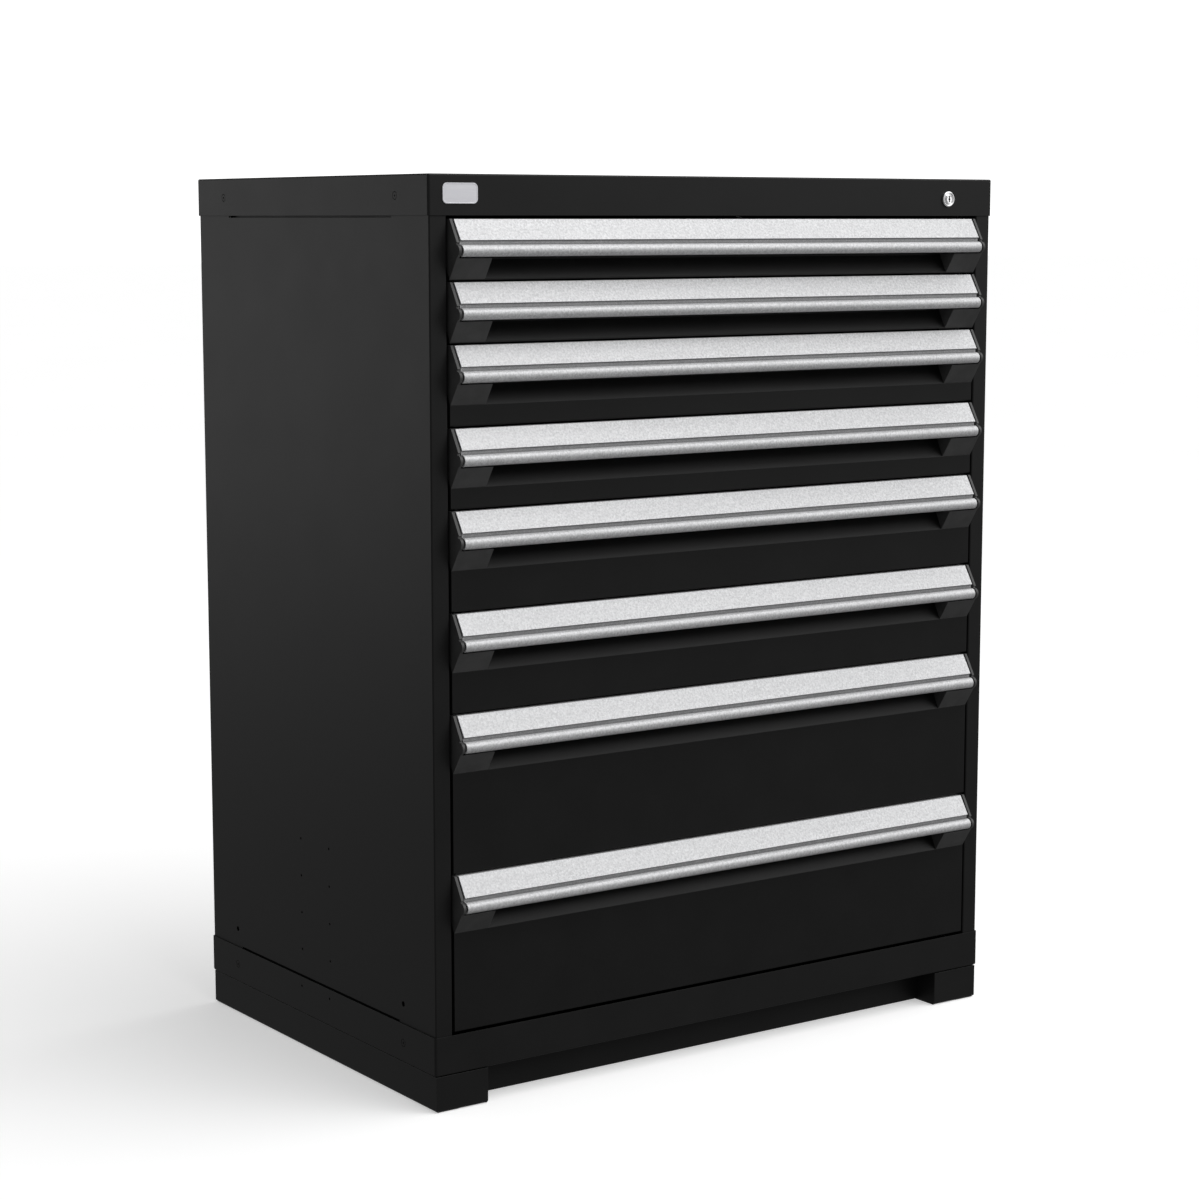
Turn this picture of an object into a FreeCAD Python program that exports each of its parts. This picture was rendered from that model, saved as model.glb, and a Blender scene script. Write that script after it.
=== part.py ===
import FreeCAD, Part
import math
import os

import Sketcher

# Modular steel drawer cabinet. Millimetres, +Z up, the front faces -Y, X runs to the right seen from
# the front. The origin is on the floor, under the centre of the bounding box, which the handles stretch
# towards the front.

SIZES = {
    # housing
    "width": 914.4,
    "depth": 609.6,
    "height": 1168.4,
    "reach": 22.1,  # how far the handle beads stand in front of the covers
    "skin": 1.5,  # sheet of the housing
    "cover_rise": 50.0,  # height of the skirts of both covers
    "cover_lap": 1.8,  # from the covers' outer face in to the side panels' outer face
    "cover_round": 1.6,  # bend radius along the covers' outer edges
    "post_width": 26.4,  # from the covers' outer face to the drawer opening
    "post_setback": 1.5,  # from the covers' front face back to the posts
    "post_return": 32.0,
    "rear_return": 24.0,
    "back_skin": 1.2,
    "vent_start": 90.0,  # long slot where a side panel meets a cover
    "vent_end": 520.5,
    "vent_show": 2.4,  # height of the slot that the skirt leaves open
    "vent_hidden": 5.0,
    "stiffener_gap": 5.0,  # from a side wall in to the folded edge behind its long slots
    "stiffener_reach": 12.0,  # how far that edge passes the cover's skirt
    "stiffener_past": 5.5,  # how far it passes the ends of the slots
    # screws and holes in the sides, measured back from the front
    "screw_front": 78.5,
    "screw_rear": 532.0,
    "screw_rise_top": 24.2,  # above each cover's lower edge
    "screw_rise_low": 25.1,
    "screw_head": 9.6,
    "screw_hole": 10.0,
    "screw_shank": 4.8,
    "screw_long": 9.0,
    "shank_hole": 5.2,
    "gang_front": 80.7,  # holes for bolting two cabinets side by side
    "gang_rear": 533.8,
    "gang_level": 123.5,
    "gang_hole": 7.0,
    "pilot_front": 269.2,  # two columns of small pilot holes
    "pilot_gap": 76.2,
    "pilot_level": 85.3,
    "pilot_pitch": 51.0,
    "pilot_hole": 3.5,
    # base
    "base_height": 48.0,
    "rail_width": 76.6,
    "rail_inset": 2.2,
    "rail_front": 1.2,
    "rail_skin": 2.5,
    "rail_seat": 1.2,  # raised seat on top of a rail, which leaves a shadow line below the skirt
    "seat_inset": 6.0,
    "rail_chamfer": 3.0,
    "rail_flange": 34.0,
    "anchor_front": 110.0,
    "anchor_rear": 500.0,
    "anchor_offset": 18.0,  # from a rail's outer face in to its floor anchors
    "anchor_hole": 11.0,
    "anchor_access": 26.0,
    "toe_setback": 40.0,
    "toe_notch": 6.5,
    "toe_clear": 1.0,
    # drawer grid
    "grid_gap": 2.2,  # between the covers and the drawer grid
    "row_small": 76.2,
    "row_low": 101.6,
    "row_middle": 127.0,
    "row_tall": 203.2,
    "front_half": 427.4,
    "gap_above": 2.0,
    "gap_below": 0.8,
    # tray
    "tray_half": 382.5,
    "tray_skin": 1.2,
    "tray_length": 560.0,
    "tray_drop": 16.0,  # from the top of a row down to the tray's sides
    "hem": 6.5,
    "flange": 14.4,
    "recess_low": 73.0,  # finger recess, below the handle's top
    "recess_high": 49.0,
    "recess_deep": 12.5,
    "slot_pitch": 25.4,
    "slot_width": 2.4,
    "slot_start": 56.0,  # from a drawer's face back to the first slot of its side walls
    "slot_count": 20,
    "rear_slot_count": 27,
    # handle extrusion and end caps
    "handle_half": 420.8,
    "handle_skin": 2.0,
    "handle_wall": 2.36,  # the sloping wall's thickness, measured level
    "handle_web": 3.0,  # how far inside the slope's foot its inner face ends
    "neck_back": 2.2,  # from the bead's centre back to where it leaves the groove
    "lip": 0.4,
    "slope_out": 15.3,
    "slope_down": 25.2,
    "groove_in": 2.7,
    "bead_radius": 7.3,
    "bead_out": 14.8,
    "bead_down": 38.1,
    "cap_half": 427.2,
    "cap_skin": 3.6,
    "cap_top": 0.3,
    "cap_slope_out": 16.4,
    "cap_slope_down": 28.2,
    "cap_plug_inset": 2.6,
    "cap_plug_front": 4.6,
    "nose_radius": 7.5,
    "nose_out": 14.5,
    "nose_down": 38.2,
    "bracket_width": 51.0,
    "bracket_top": 47.0,
    "bracket_out": 15.5,
    # slides, measured up from the bottom of a row
    "slide_start": 34.0,  # behind the cabinet's front
    "slide_length": 545.0,
    "slide_skin": 2.0,
    "slide_middle": 26.0,
    "fixed_tall": 34.0,
    "fixed_wide": 22.0,
    "inter_tall": 28.0,
    "inter_web": 406.0,
    "inter_reach": 20.0,
    "runner_tall": 22.0,
    "runner_wide": 13.5,
    "roller_near": 20.0,
    "roller_far": 250.0,
    "pin_radius": 2.5,
    "pin_play": 0.1,
    "fixed_roller": 11.6,
    "inter_roller": 8.6,
    "roller_wide": 7.5,
    # uprights
    "upright_front": 40.0,
    "upright_rear": 545.0,
    "upright_wide": 34.0,
    "upright_slot_wide": 5.0,
    "upright_slot_tall": 14.0,
    "upright_slot_first": 6.0,  # above the bottom of the drawer grid
    "upright_slot_count": 40,
    # lock
    "lock_across": 376.1,
    "lock_level": 1141.1,
    "barrel_radius": 9.4,
    "barrel_length": 26.0,
    "bezel_radius": 10.6,
    "bezel_out": 3.0,
    "nut_radius": 13.5,
    "nut_thick": 5.0,
    "core_radius": 6.0,
    "core_play": 0.15,
    "core_out": 3.8,
    "core_tail": 30.0,
    "key_wide": 1.8,
    "key_tall": 7.0,
    "key_deep": 12.0,
    "cam_thick": 3.0,
    "cam_arm": 5.0,  # the pin's offset across and down
    "cam_pin": 2.0,
    "pin_long": 6.5,
    "bar_front": 35.0,
    "bar_skin": 3.0,
    "bar_near": 434.0,
    "bar_far": 451.0,
    "arm_near": 360.0,
    "arm_tall": 20.0,
    "arm_slot_play": 0.5,
    "lug_near": 428.6,
    "lug_level": 45.0,
    "lug_tall": 6.0,
    "catch_level": 53.0,
    "catch_tall": 13.0,
    "catch_out": 426.8,
    "catch_skin": 2.0,
    "catch_rear": 46.0,
    "catch_hook": 6.0,
    "catch_bridge": 3.0,
    # badge
    "badge_across": -412.2,
    "badge_level": 1145.0,
    "badge_wide": 50.0,
    "badge_tall": 25.0,
    "badge_thick": 1.2,
    "badge_round": 6.0,
}

# Heights of the drawers' rows, from the top drawer to the bottom one.
ROWS = ["row_small"] * 2 + ["row_low"] * 2 + ["row_middle"] * 2 + ["row_tall"] * 2
BACK_SCREW_SHARES = [0.08, 0.3, 0.5, 0.7, 0.92]
PILOT_ROWS = 5

Vector = FreeCAD.Vector
document = FreeCAD.newDocument("drawer_cabinet")
sheet = document.addObject("Spreadsheet::Sheet", "dim")
subparts = []

# Places that many pieces share, as expressions of the sheet.
HALF = "dim.width / 2"
FRONT = "-(dim.depth + dim.reach) / 2 + dim.reach"
REAR = f"{FRONT} + dim.depth"
WALL = f"{HALF} - dim.cover_lap"
POST = f"{HALF} - dim.post_width"
FACE = f"{FRONT} + dim.post_setback"
LOW_COVER_TOP = "dim.base_height + dim.cover_rise"
TOP_COVER_LOW = "dim.height - dim.cover_rise"
INNER_LOW = "dim.base_height + dim.skin"
INNER_TOP = "dim.height - dim.skin"
GRID = f"{LOW_COVER_TOP} + dim.grid_gap"
TRAY_REAR = f"{FACE} + dim.tray_length"
SLIDE_FRONT = f"{FRONT} + dim.slide_start"
BACK_FACE = f"{REAR} - dim.cover_lap"


def fill_sheet():
    for line, (alias, size) in enumerate(SIZES.items(), start=1):
        sheet.set(f"A{line}", alias)
        sheet.set(f"B{line}", str(size))
        sheet.setAlias(f"B{line}", alias)
    document.recompute()


def value(expression):
    """The number that an expression of the sheet has now."""
    found = sheet.evalExpression(expression)
    return float(getattr(found, "Value", found))


def place(item, x="0", y="0", z="0"):
    for axis, expression in zip("xyz", (x, y, z)):
        item.setExpression(f"Placement.Base.{axis}", expression)
    return item


def box(name, x, y, z):
    """A block between two limits along each axis."""
    item = document.addObject("Part::Box", name)
    for side, (low, high) in zip(("Length", "Width", "Height"), (x, y, z)):
        item.setExpression(side, f"({high}) - ({low})")
    return place(item, x[0], y[0], z[0])


def rod(name, axis, centre, span, radius):
    """A cylinder along one axis. The centre's place on that axis is replaced by the span."""
    turns = {"x": (Vector(0, 1, 0), 90), "y": (Vector(1, 0, 0), -90), "z": (Vector(0, 0, 1), 0)}
    item = document.addObject("Part::Cylinder", name)
    item.setExpression("Radius", radius)
    item.setExpression("Height", f"({span[1]}) - ({span[0]})")
    item.Placement = FreeCAD.Placement(Vector(), FreeCAD.Rotation(*turns[axis]))
    places = dict(zip("xyz", centre))
    places[axis] = span[0]
    return place(item, places["x"], places["y"], places["z"])


def joined(name, pieces):
    item = document.addObject("Part::MultiFuse", name)
    item.Shapes = pieces
    item.Refine = True
    return item


def grouped(name, pieces):
    """Separate solids kept side by side."""
    item = document.addObject("Part::Compound", name)
    item.Links = pieces
    return item


def carved(name, base, tools):
    item = document.addObject("Part::Cut", name)
    item.Base = base
    item.Tool = tools[0] if len(tools) == 1 else grouped(f"{name}_tools", tools)
    item.Refine = True
    return item


def mirrored(name, source):
    """The same piece on the other side of the cabinet."""
    item = document.addObject("Part::Mirroring", name)
    item.Source = source
    item.Normal = Vector(1, 0, 0)
    return item


def moved(name, source, x="0", y="0", z="0"):
    """Another copy of a piece, moved."""
    return place(grouped(name, [source]), x, y, z)


def rounded(name, source, radius, chosen):
    """Rounds the edges that the test picks. Each edge is tested by its middle point and its direction."""
    document.recompute()
    item = document.addObject("Part::Fillet", name)
    item.Base = source
    picked = []
    for number, edge in enumerate(source.Shape.Edges, start=1):
        ends = edge.Vertexes
        if len(ends) == 2:
            run = ends[1].Point - ends[0].Point
            if chosen(edge.CenterOfMass, run.normalize()):
                picked.append((number, value(radius), value(radius)))
    item.Edges = picked
    return item


def subpart(label, item):
    item.Label = label
    subparts.append(item)
    return item


def plane_of(body, role):
    return next(feature for feature in body.Origin.OriginFeatures if feature.Role == role)


def draw_outline(sketch, steps):
    """Draws a closed outline. A step is a corner (x, y), or a corner and the arc that leads from it to
    the next corner: (x, y, (centre x, centre y, radius, sense)). Where an arc meets a corner, the corner's
    x and the arc fix the place, and y only says on which side."""
    corners = [Vector(value(step[0]), value(step[1]), 0) for step in steps]
    arcs = [step[2] if len(step) == 3 else None for step in steps]
    ends = []
    for index, (corner, arc) in enumerate(zip(corners, arcs)):
        following = corners[(index + 1) % len(corners)]
        if arc is None:
            sketch.addGeometry(Part.LineSegment(corner, following), False)
            ends.append((1, 2))
            continue
        centre = Vector(value(arc[0]), value(arc[1]), 0)
        low, high = (corner, following) if arc[3] > 0 else (following, corner)
        start = math.atan2(low.y - centre.y, low.x - centre.x)
        stop = math.atan2(high.y - centre.y, high.x - centre.x)
        circle = Part.Circle(centre, Vector(0, 0, 1), value(arc[2]))
        sketch.addGeometry(Part.ArcOfCircle(circle, start, stop), False)
        ends.append((1, 2) if arc[3] > 0 else (2, 1))
    for index, (_, end) in enumerate(ends):
        following = (index + 1) % len(ends)
        sketch.addConstraint(Sketcher.Constraint("Coincident", index, end, following, ends[following][0]))
    for index, (step, arc) in enumerate(zip(steps, arcs)):
        on_arc = arc is not None or arcs[index - 1] is not None
        limit(sketch, "DistanceX", (-1, 1, index, ends[index][0]), step[0])
        if not on_arc:
            limit(sketch, "DistanceY", (-1, 1, index, ends[index][0]), step[1])
        if arc is not None:
            limit(sketch, "DistanceX", (-1, 1, index, 3), arc[0])
            limit(sketch, "DistanceY", (-1, 1, index, 3), arc[1])
            limit(sketch, "Radius", (index,), arc[2])


def limit(sketch, kind, targets, expression):
    number = sketch.addConstraint(Sketcher.Constraint(kind, *targets, value(expression)))
    sketch.setExpression(f"Constraints[{number}]", expression)


def profile(name, plane, steps, span):
    """A body padded from an outline on plane XY, XZ or YZ, along the third axis, between two limits."""
    body = document.addObject("PartDesign::Body", name)
    sketch = body.newObject("Sketcher::SketchObject", f"{name}_outline")
    sketch.AttachmentSupport = [(plane_of(body, f"{plane}_Plane"), "")]
    sketch.MapMode = "FlatFace"
    draw_outline(sketch, steps)
    pad = body.newObject("PartDesign::Pad", f"{name}_pad")
    pad.Profile = sketch
    pad.setExpression("Length", f"({span[1]}) - ({span[0]})")
    pad.Reversed = plane == "XZ"
    along = {"XY": "z", "XZ": "y", "YZ": "x"}[plane]
    return place(body, **{along: span[0]})


def through_sides(name, y, z, radius):
    """A cutter across the whole cabinet, for the same hole in both sides."""
    return rod(name, "x", ("0", y, z), (f"-({HALF}) - dim.skin", f"{HALF} + dim.skin"), radius)


def side_screw_cutters(name, level, radius):
    return [
        through_sides(f"{name}_{where}", f"{FRONT} + dim.screw_{where}", level, radius)
        for where in ("front", "rear")
    ]


def anchor_cutters(name, across, z, radius):
    """Upright cutters above the floor anchors, on one or both sides."""
    tools = []
    for side in across:
        for where in ("front", "rear"):
            centre = (side, f"{FRONT} + dim.anchor_{where}", "0")
            tools.append(rod(f"{name}_{where}", "z", centre, z, radius))
    return tools


ANCHOR_ACROSS = f"{HALF} - dim.rail_inset - dim.anchor_offset"
SCREW_HIGH = f"{TOP_COVER_LOW} + dim.screw_rise_top"
SCREW_LOW = "dim.base_height + dim.screw_rise_low"


def make_cover(name, low, high, hollow_low, hollow_high, flat_level, cutters):
    """A folded pan: a flat skin with a skirt all round, its bends rounded."""
    block = box(f"{name}_block", (f"-({HALF})", HALF), (FRONT, REAR), (low, high))
    level = value(flat_level)

    def on_a_bend(middle, run):
        return abs(run.z) > 0.9 or abs(middle.z - level) < 0.1

    blank = rounded(f"{name}_blank", block, "dim.cover_round", on_a_bend)
    inner = f"{HALF} - dim.skin"
    hollow_x = (f"-({inner})", inner)
    hollow_y = (f"{FRONT} + dim.skin", f"{REAR} - dim.skin")
    hollow = box(f"{name}_hollow", hollow_x, hollow_y, (hollow_low, hollow_high))
    return subpart(name, carved(name, blank, [hollow] + cutters))


def make_covers():
    cutters = side_screw_cutters("top_screw_hole", SCREW_HIGH, "dim.screw_hole / 2")
    spot = ("dim.lock_across", "0", "dim.lock_level")
    span = (f"{FRONT} - dim.skin", f"{FRONT} + 2 * dim.skin")
    cutters.append(rod("lock_hole", "y", spot, span, "dim.barrel_radius + dim.core_play"))
    below = f"{TOP_COVER_LOW} - 1"
    make_cover("top_cover", TOP_COVER_LOW, "dim.height", below, INNER_TOP, "dim.height", cutters)

    cutters = side_screw_cutters("low_screw_hole", SCREW_LOW, "dim.screw_hole / 2")
    cutters += pilot_cutters(1)
    across = (ANCHOR_ACROSS, f"-({ANCHOR_ACROSS})")
    floor = ("dim.base_height - 1", f"{INNER_LOW} + 1")
    cutters += anchor_cutters("cover_access", across, floor, "dim.anchor_access / 2")
    above = f"{LOW_COVER_TOP} + 1"
    floor_level = "dim.base_height"
    make_cover("bottom_cover", floor_level, LOW_COVER_TOP, INNER_LOW, above, floor_level, cutters)


def pilot_cutters(rows, first=0):
    """Two columns of small holes through both sides."""
    cutters = []
    for row in range(first, first + rows):
        level = f"dim.pilot_level + {row} * dim.pilot_pitch"
        for gap in (0, 1):
            y = f"{FRONT} + dim.pilot_front + {gap} * dim.pilot_gap"
            cutters.append(through_sides("pilot_hole", y, level, "dim.pilot_hole / 2"))
    return cutters


def back_screw_levels():
    return [f"{INNER_LOW} + {share} * ({INNER_TOP} - ({INNER_LOW}))" for share in BACK_SCREW_SHARES]


BACK_SCREW_ACROSS = f"{WALL} - dim.rear_return / 2"


def back_screw_cutters(name, radius):
    """Cutters for the screws that hold the back panel to both side panels."""
    span = (f"{BACK_FACE} - 6 * dim.skin", f"{BACK_FACE} + dim.skin")
    return [
        rod(name, "y", (across, "0", level), span, radius)
        for level in back_screw_levels()
        for across in (BACK_SCREW_ACROSS, f"-({BACK_SCREW_ACROSS})")
    ]


def make_stiffeners(wall):
    """A side wall's top and bottom edges, folded in behind its long slots."""
    near = f"{wall} - dim.stiffener_gap - dim.skin"
    y = (f"{FRONT} + dim.vent_start - dim.stiffener_past", f"{FRONT} + dim.vent_end + dim.stiffener_past")
    high = (f"{TOP_COVER_LOW} - dim.stiffener_reach", INNER_TOP)
    low = (INNER_LOW, f"{LOW_COVER_TOP} + dim.stiffener_reach")
    leg_x = (near, f"{near} + dim.skin")
    return [
        box("stiffener_leg_high", leg_x, y, high),
        box("stiffener_fold_high", (near, wall), y, (f"{INNER_TOP} - dim.skin", INNER_TOP)),
        box("stiffener_leg_low", leg_x, y, low),
        box("stiffener_fold_low", (near, wall), y, (INNER_LOW, f"{INNER_LOW} + dim.skin")),
    ]


def make_side_panels():
    """Each side wall is folded at the front into a post, and at the back into a flange."""
    inner = f"{WALL} - dim.skin"
    flange = f"{WALL} - dim.rear_return"
    outline = [
        (WALL, BACK_FACE),
        (WALL, FACE),
        (POST, FACE),
        (POST, f"{FRONT} + dim.post_return"),
        (f"{POST} + dim.skin", f"{FRONT} + dim.post_return"),
        (f"{POST} + dim.skin", f"{FACE} + dim.skin"),
        (inner, f"{FACE} + dim.skin"),
        (inner, f"{BACK_FACE} - dim.skin"),
        (flange, f"{BACK_FACE} - dim.skin"),
        (flange, BACK_FACE),
    ]
    sheet_metal = profile("side_blank", "XY", outline, (INNER_LOW, INNER_TOP))
    corners = [(value(WALL), value(FACE)), (value(POST), value(FACE)), (value(WALL), value(BACK_FACE))]

    def on_a_bend(middle, run):
        upright = abs(run.z) > 0.9
        return upright and any(math.dist((middle.x, middle.y), corner) < 0.1 for corner in corners)

    folded = rounded("side_folded", sheet_metal, "dim.skin", on_a_bend)
    stiffened = joined("side_stiffened", [folded] + make_stiffeners(inner))
    cutters = side_screw_cutters("top_shank_hole", SCREW_HIGH, "dim.shank_hole / 2")
    cutters += side_screw_cutters("low_shank_hole", SCREW_LOW, "dim.shank_hole / 2")
    for where in ("front", "rear"):
        y = f"{FRONT} + dim.gang_{where}"
        cutters.append(through_sides("gang_hole", y, "dim.gang_level", "dim.gang_hole / 2"))
    cutters += pilot_cutters(PILOT_ROWS - 1, first=1)
    cutters += back_screw_cutters("back_screw_hole", "dim.screw_hole / 2")
    vent_y = (f"{FRONT} + dim.vent_start", f"{FRONT} + dim.vent_end")
    vent_x = (f"{inner} - dim.skin", f"{HALF}")
    vent_high = (f"{TOP_COVER_LOW} - dim.vent_show", f"{TOP_COVER_LOW} + dim.vent_hidden")
    vent_low = (f"{LOW_COVER_TOP} - dim.vent_hidden", f"{LOW_COVER_TOP} + dim.vent_show")
    cutters += [box("vent_high", vent_x, vent_y, vent_high), box("vent_low", vent_x, vent_y, vent_low)]
    right = subpart("side_panel_right", carved("side_panel_right", stiffened, cutters))
    subpart("side_panel_left", mirrored("side_panel_left", right))


def make_back_panel():
    inner = f"{WALL} - 1.2 * dim.skin"
    face = f"{BACK_FACE} - dim.skin"
    plate_y = (f"{face} - dim.back_skin", face)
    plate = box("back_plate", (f"-({inner})", inner), plate_y, (INNER_LOW, INNER_TOP))
    cutters = back_screw_cutters("back_shank_hole", "dim.shank_hole / 2")
    subpart("back_panel", carved("back_panel", plate, cutters))


def make_screws():
    """Flush countersunk screws: eight hold the covers to the sides, and the rest hold the back panel."""
    centre = ("0", "0", "0")
    head = rod("screw_head", "x", centre, ("-dim.skin", "0"), "dim.screw_head / 2")
    shank = rod("screw_shank", "x", centre, ("-dim.screw_long", "-dim.skin / 2"), "dim.screw_shank / 2")
    socket = document.addObject("Part::Prism", "screw_socket")
    socket.Polygon = 6
    socket.setExpression("Circumradius", "dim.screw_shank / 3")
    socket.setExpression("Height", "dim.skin")
    socket.Placement = FreeCAD.Placement(Vector(), FreeCAD.Rotation(Vector(0, 1, 0), 90))
    place(socket, x="-dim.skin / 2")
    screw = carved("screw", joined("screw_blank", [head, shank]), [socket])
    right = []
    for level in (SCREW_HIGH, SCREW_LOW):
        for where in ("front", "rear"):
            right.append(moved("cover_screw", screw, HALF, f"{FRONT} + dim.screw_{where}", level))
    for level in back_screw_levels():
        back = moved("back_screw", screw)
        back.Placement = FreeCAD.Placement(Vector(), FreeCAD.Rotation(Vector(0, 0, 1), 90))
        right.append(place(back, BACK_SCREW_ACROSS, BACK_FACE, level))
    right = grouped("screws_right", right)
    subpart("panel_screws", grouped("panel_screws", [right, mirrored("screws_left", right)]))


def make_base_rails():
    """Feet that run the full depth: open underneath, with a floor flange that takes the anchors."""
    outer = f"{HALF} - dim.rail_inset"
    inner = f"{outer} - dim.rail_width"
    y = (f"{FRONT} + dim.rail_front", f"{REAR} - dim.rail_front")
    top = "dim.base_height - dim.rail_seat"
    block = box("rail_block", (inner, outer), y, ("0", top))
    inner_x = value(inner)

    def at_the_floor(middle, run):
        return abs(middle.z) < 0.1 and abs(middle.x - inner_x) > 0.1

    document.recompute()
    blank = document.addObject("Part::Chamfer", "rail_blank")
    blank.Base = block
    blank.Edges = [
        (number, value("dim.rail_chamfer"), value("dim.rail_chamfer"))
        for number, edge in enumerate(block.Shape.Edges, start=1)
        if at_the_floor(edge.CenterOfMass, None)
    ]
    near = f"{inner} + dim.rail_skin"
    inside_y = (f"{y[0]} + dim.rail_skin", f"{y[1]} - dim.rail_skin")
    ceiling = f"{top} - dim.rail_skin"
    channel = box("rail_channel", (near, f"{outer} - dim.rail_flange"), inside_y, ("-1", ceiling))
    hollow = box("rail_hollow", (near, f"{outer} - dim.rail_skin"), inside_y, ("dim.rail_skin", ceiling))
    seat_x = (f"{inner} + dim.seat_inset", f"{outer} - dim.seat_inset")
    seat_y = (f"{y[0]} + dim.seat_inset", f"{y[1]} - dim.seat_inset")
    seat = box("rail_seat", seat_x, seat_y, (f"{top} - dim.rail_skin", "dim.base_height"))
    folded = carved("rail_folded", blank, [joined("rail_inside", [channel, hollow])])
    shell = joined("rail_shell", [folded, seat])
    through = ("-1", "2 * dim.rail_skin")
    cutters = anchor_cutters("anchor_hole", [ANCHOR_ACROSS], through, "dim.anchor_hole / 2")
    access = (f"{ceiling} - 1", "dim.base_height + 1")
    cutters += anchor_cutters("rail_access", [ANCHOR_ACROSS], access, "dim.anchor_access / 2")
    right = subpart("base_rail_right", carved("base_rail_right", shell, cutters))
    subpart("base_rail_left", mirrored("base_rail_left", right))


def make_toe_panels():
    half = f"{HALF} - dim.rail_inset - dim.rail_width"
    front = (f"{FRONT} + dim.toe_setback", f"{FRONT} + dim.toe_setback + dim.rail_skin")
    rear = (f"{REAR} - dim.toe_setback - dim.rail_skin", f"{REAR} - dim.toe_setback")
    for name, y in (("toe_panel_front", front), ("toe_panel_rear", rear)):
        plate = box(f"{name}_plate", (f"-({half})", half), y, ("dim.toe_clear", "dim.base_height"))
        notch_z = ("dim.base_height - dim.toe_notch", "dim.base_height + 1")
        notches = [
            box(f"{name}_notch", (f"{half} - dim.toe_notch", f"{half} + 1"), y, notch_z),
            box(f"{name}_notch", (f"-({half}) - 1", f"-({half}) + dim.toe_notch"), y, notch_z),
        ]
        subpart(name, carved(name, plate, notches))


def make_uprights():
    """Slotted columns between the side panels and the drawer rails."""
    wall = f"{WALL} - dim.skin"
    web = f"{POST} + dim.skin"
    for where in ("front", "rear"):
        near = f"{FRONT} + dim.upright_{where}"
        far = f"{near} + dim.upright_wide"
        outline = [
            (POST, near),
            (wall, near),
            (wall, f"{near} + dim.skin"),
            (web, f"{near} + dim.skin"),
            (web, f"{far} - dim.skin"),
            (wall, f"{far} - dim.skin"),
            (wall, far),
            (POST, far),
        ]
        name = f"{where}_upright_right"
        body = profile(name, "XY", outline, (INNER_LOW, INNER_TOP))
        document.recompute()
        whole = body.Shape.Volume
        sketch = body.newObject("Sketcher::SketchObject", f"{name}_slot")
        sketch.AttachmentSupport = [(plane_of(body, "YZ_Plane"), "")]
        sketch.MapMode = "FlatFace"
        low = f"{GRID} - ({INNER_LOW}) + dim.upright_slot_first"
        high = f"{low} + dim.upright_slot_tall"
        middle = f"{near} + dim.upright_wide / 2"
        left, right = f"{middle} - dim.upright_slot_wide / 2", f"{middle} + dim.upright_slot_wide / 2"
        draw_outline(sketch, [(left, low), (right, low), (right, high), (left, high)])
        slot = body.newObject("PartDesign::Pocket", f"{name}_pocket")
        slot.Profile = sketch
        slot.Type = "ThroughAll"
        slot.Reversed = True
        pattern = body.newObject("PartDesign::LinearPattern", f"{name}_slots")
        pattern.Originals = [slot]
        pattern.Direction = (plane_of(body, "Z_Axis"), [""])
        pattern.setExpression("Length", "(dim.upright_slot_count - 1) * dim.slot_pitch")
        pattern.setExpression("Occurrences", "dim.upright_slot_count")
        body.Tip = pattern
        document.recompute()
        assert body.Shape.Volume < whole, "the slots cut nothing"
        subpart(name, body)
        subpart(f"{where}_upright_left", mirrored(f"{where}_upright_left", body))


def make_slide_parts():
    """One drawer's slide at the bottom of a row: the cabinet's rail, the member between and the drawer's
    runner. The rollers of a rail run inside the next member."""
    low, high = "dim.slide_middle - dim.{0} / 2", "dim.slide_middle + dim.{0} / 2"
    skin = "dim.slide_skin"
    span = (SLIDE_FRONT, f"{SLIDE_FRONT} + dim.slide_length")

    def channel(name, back, mouth, tall, sign):
        """A C section whose back stands at one x and whose mouth opens at the other."""
        bottom, top = low.format(tall), high.format(tall)
        web = f"{back} + {sign} * {skin}"
        outline = [
            (back, bottom),
            (back, top),
            (mouth, top),
            (mouth, f"{top} - {skin}"),
            (web, f"{top} - {skin}"),
            (web, f"{bottom} + {skin}"),
            (mouth, f"{bottom} + {skin}"),
            (mouth, bottom),
        ]
        return profile(name, "XZ", outline, span)

    fixed = channel("fixed_section", POST, f"{POST} - dim.fixed_wide", "fixed_tall", -1)
    runner_mouth = "dim.tray_half + dim.runner_wide"
    runner = channel("runner_section", "dim.tray_half", runner_mouth, "runner_tall", 1)

    bottom, top = low.format("inter_tall"), high.format("inter_tall")
    near, far = "dim.inter_web - dim.inter_reach", "dim.inter_web + dim.inter_reach"
    left, right = f"dim.inter_web - {skin} / 2", f"dim.inter_web + {skin} / 2"
    under, over = f"{bottom} + {skin}", f"{top} - {skin}"
    outline = [
        (near, bottom),
        (far, bottom),
        (far, under),
        (right, under),
        (right, over),
        (far, over),
        (far, top),
        (near, top),
        (near, over),
        (left, over),
        (left, under),
        (near, under),
    ]
    inter = profile("inter_section", "XZ", outline, span)

    fixed_middle = f"({right} + {POST} - {skin}) / 2"
    inter_middle = f"dim.tray_half + {skin} + dim.roller_wide * 0.8"
    fixed = with_rollers("fixed", fixed, fixed_middle, f"{POST} - {skin} / 2", "dim.fixed_roller")
    inter = with_rollers("inter", inter, inter_middle, "dim.inter_web", "dim.inter_roller")
    return fixed, inter, runner


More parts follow.
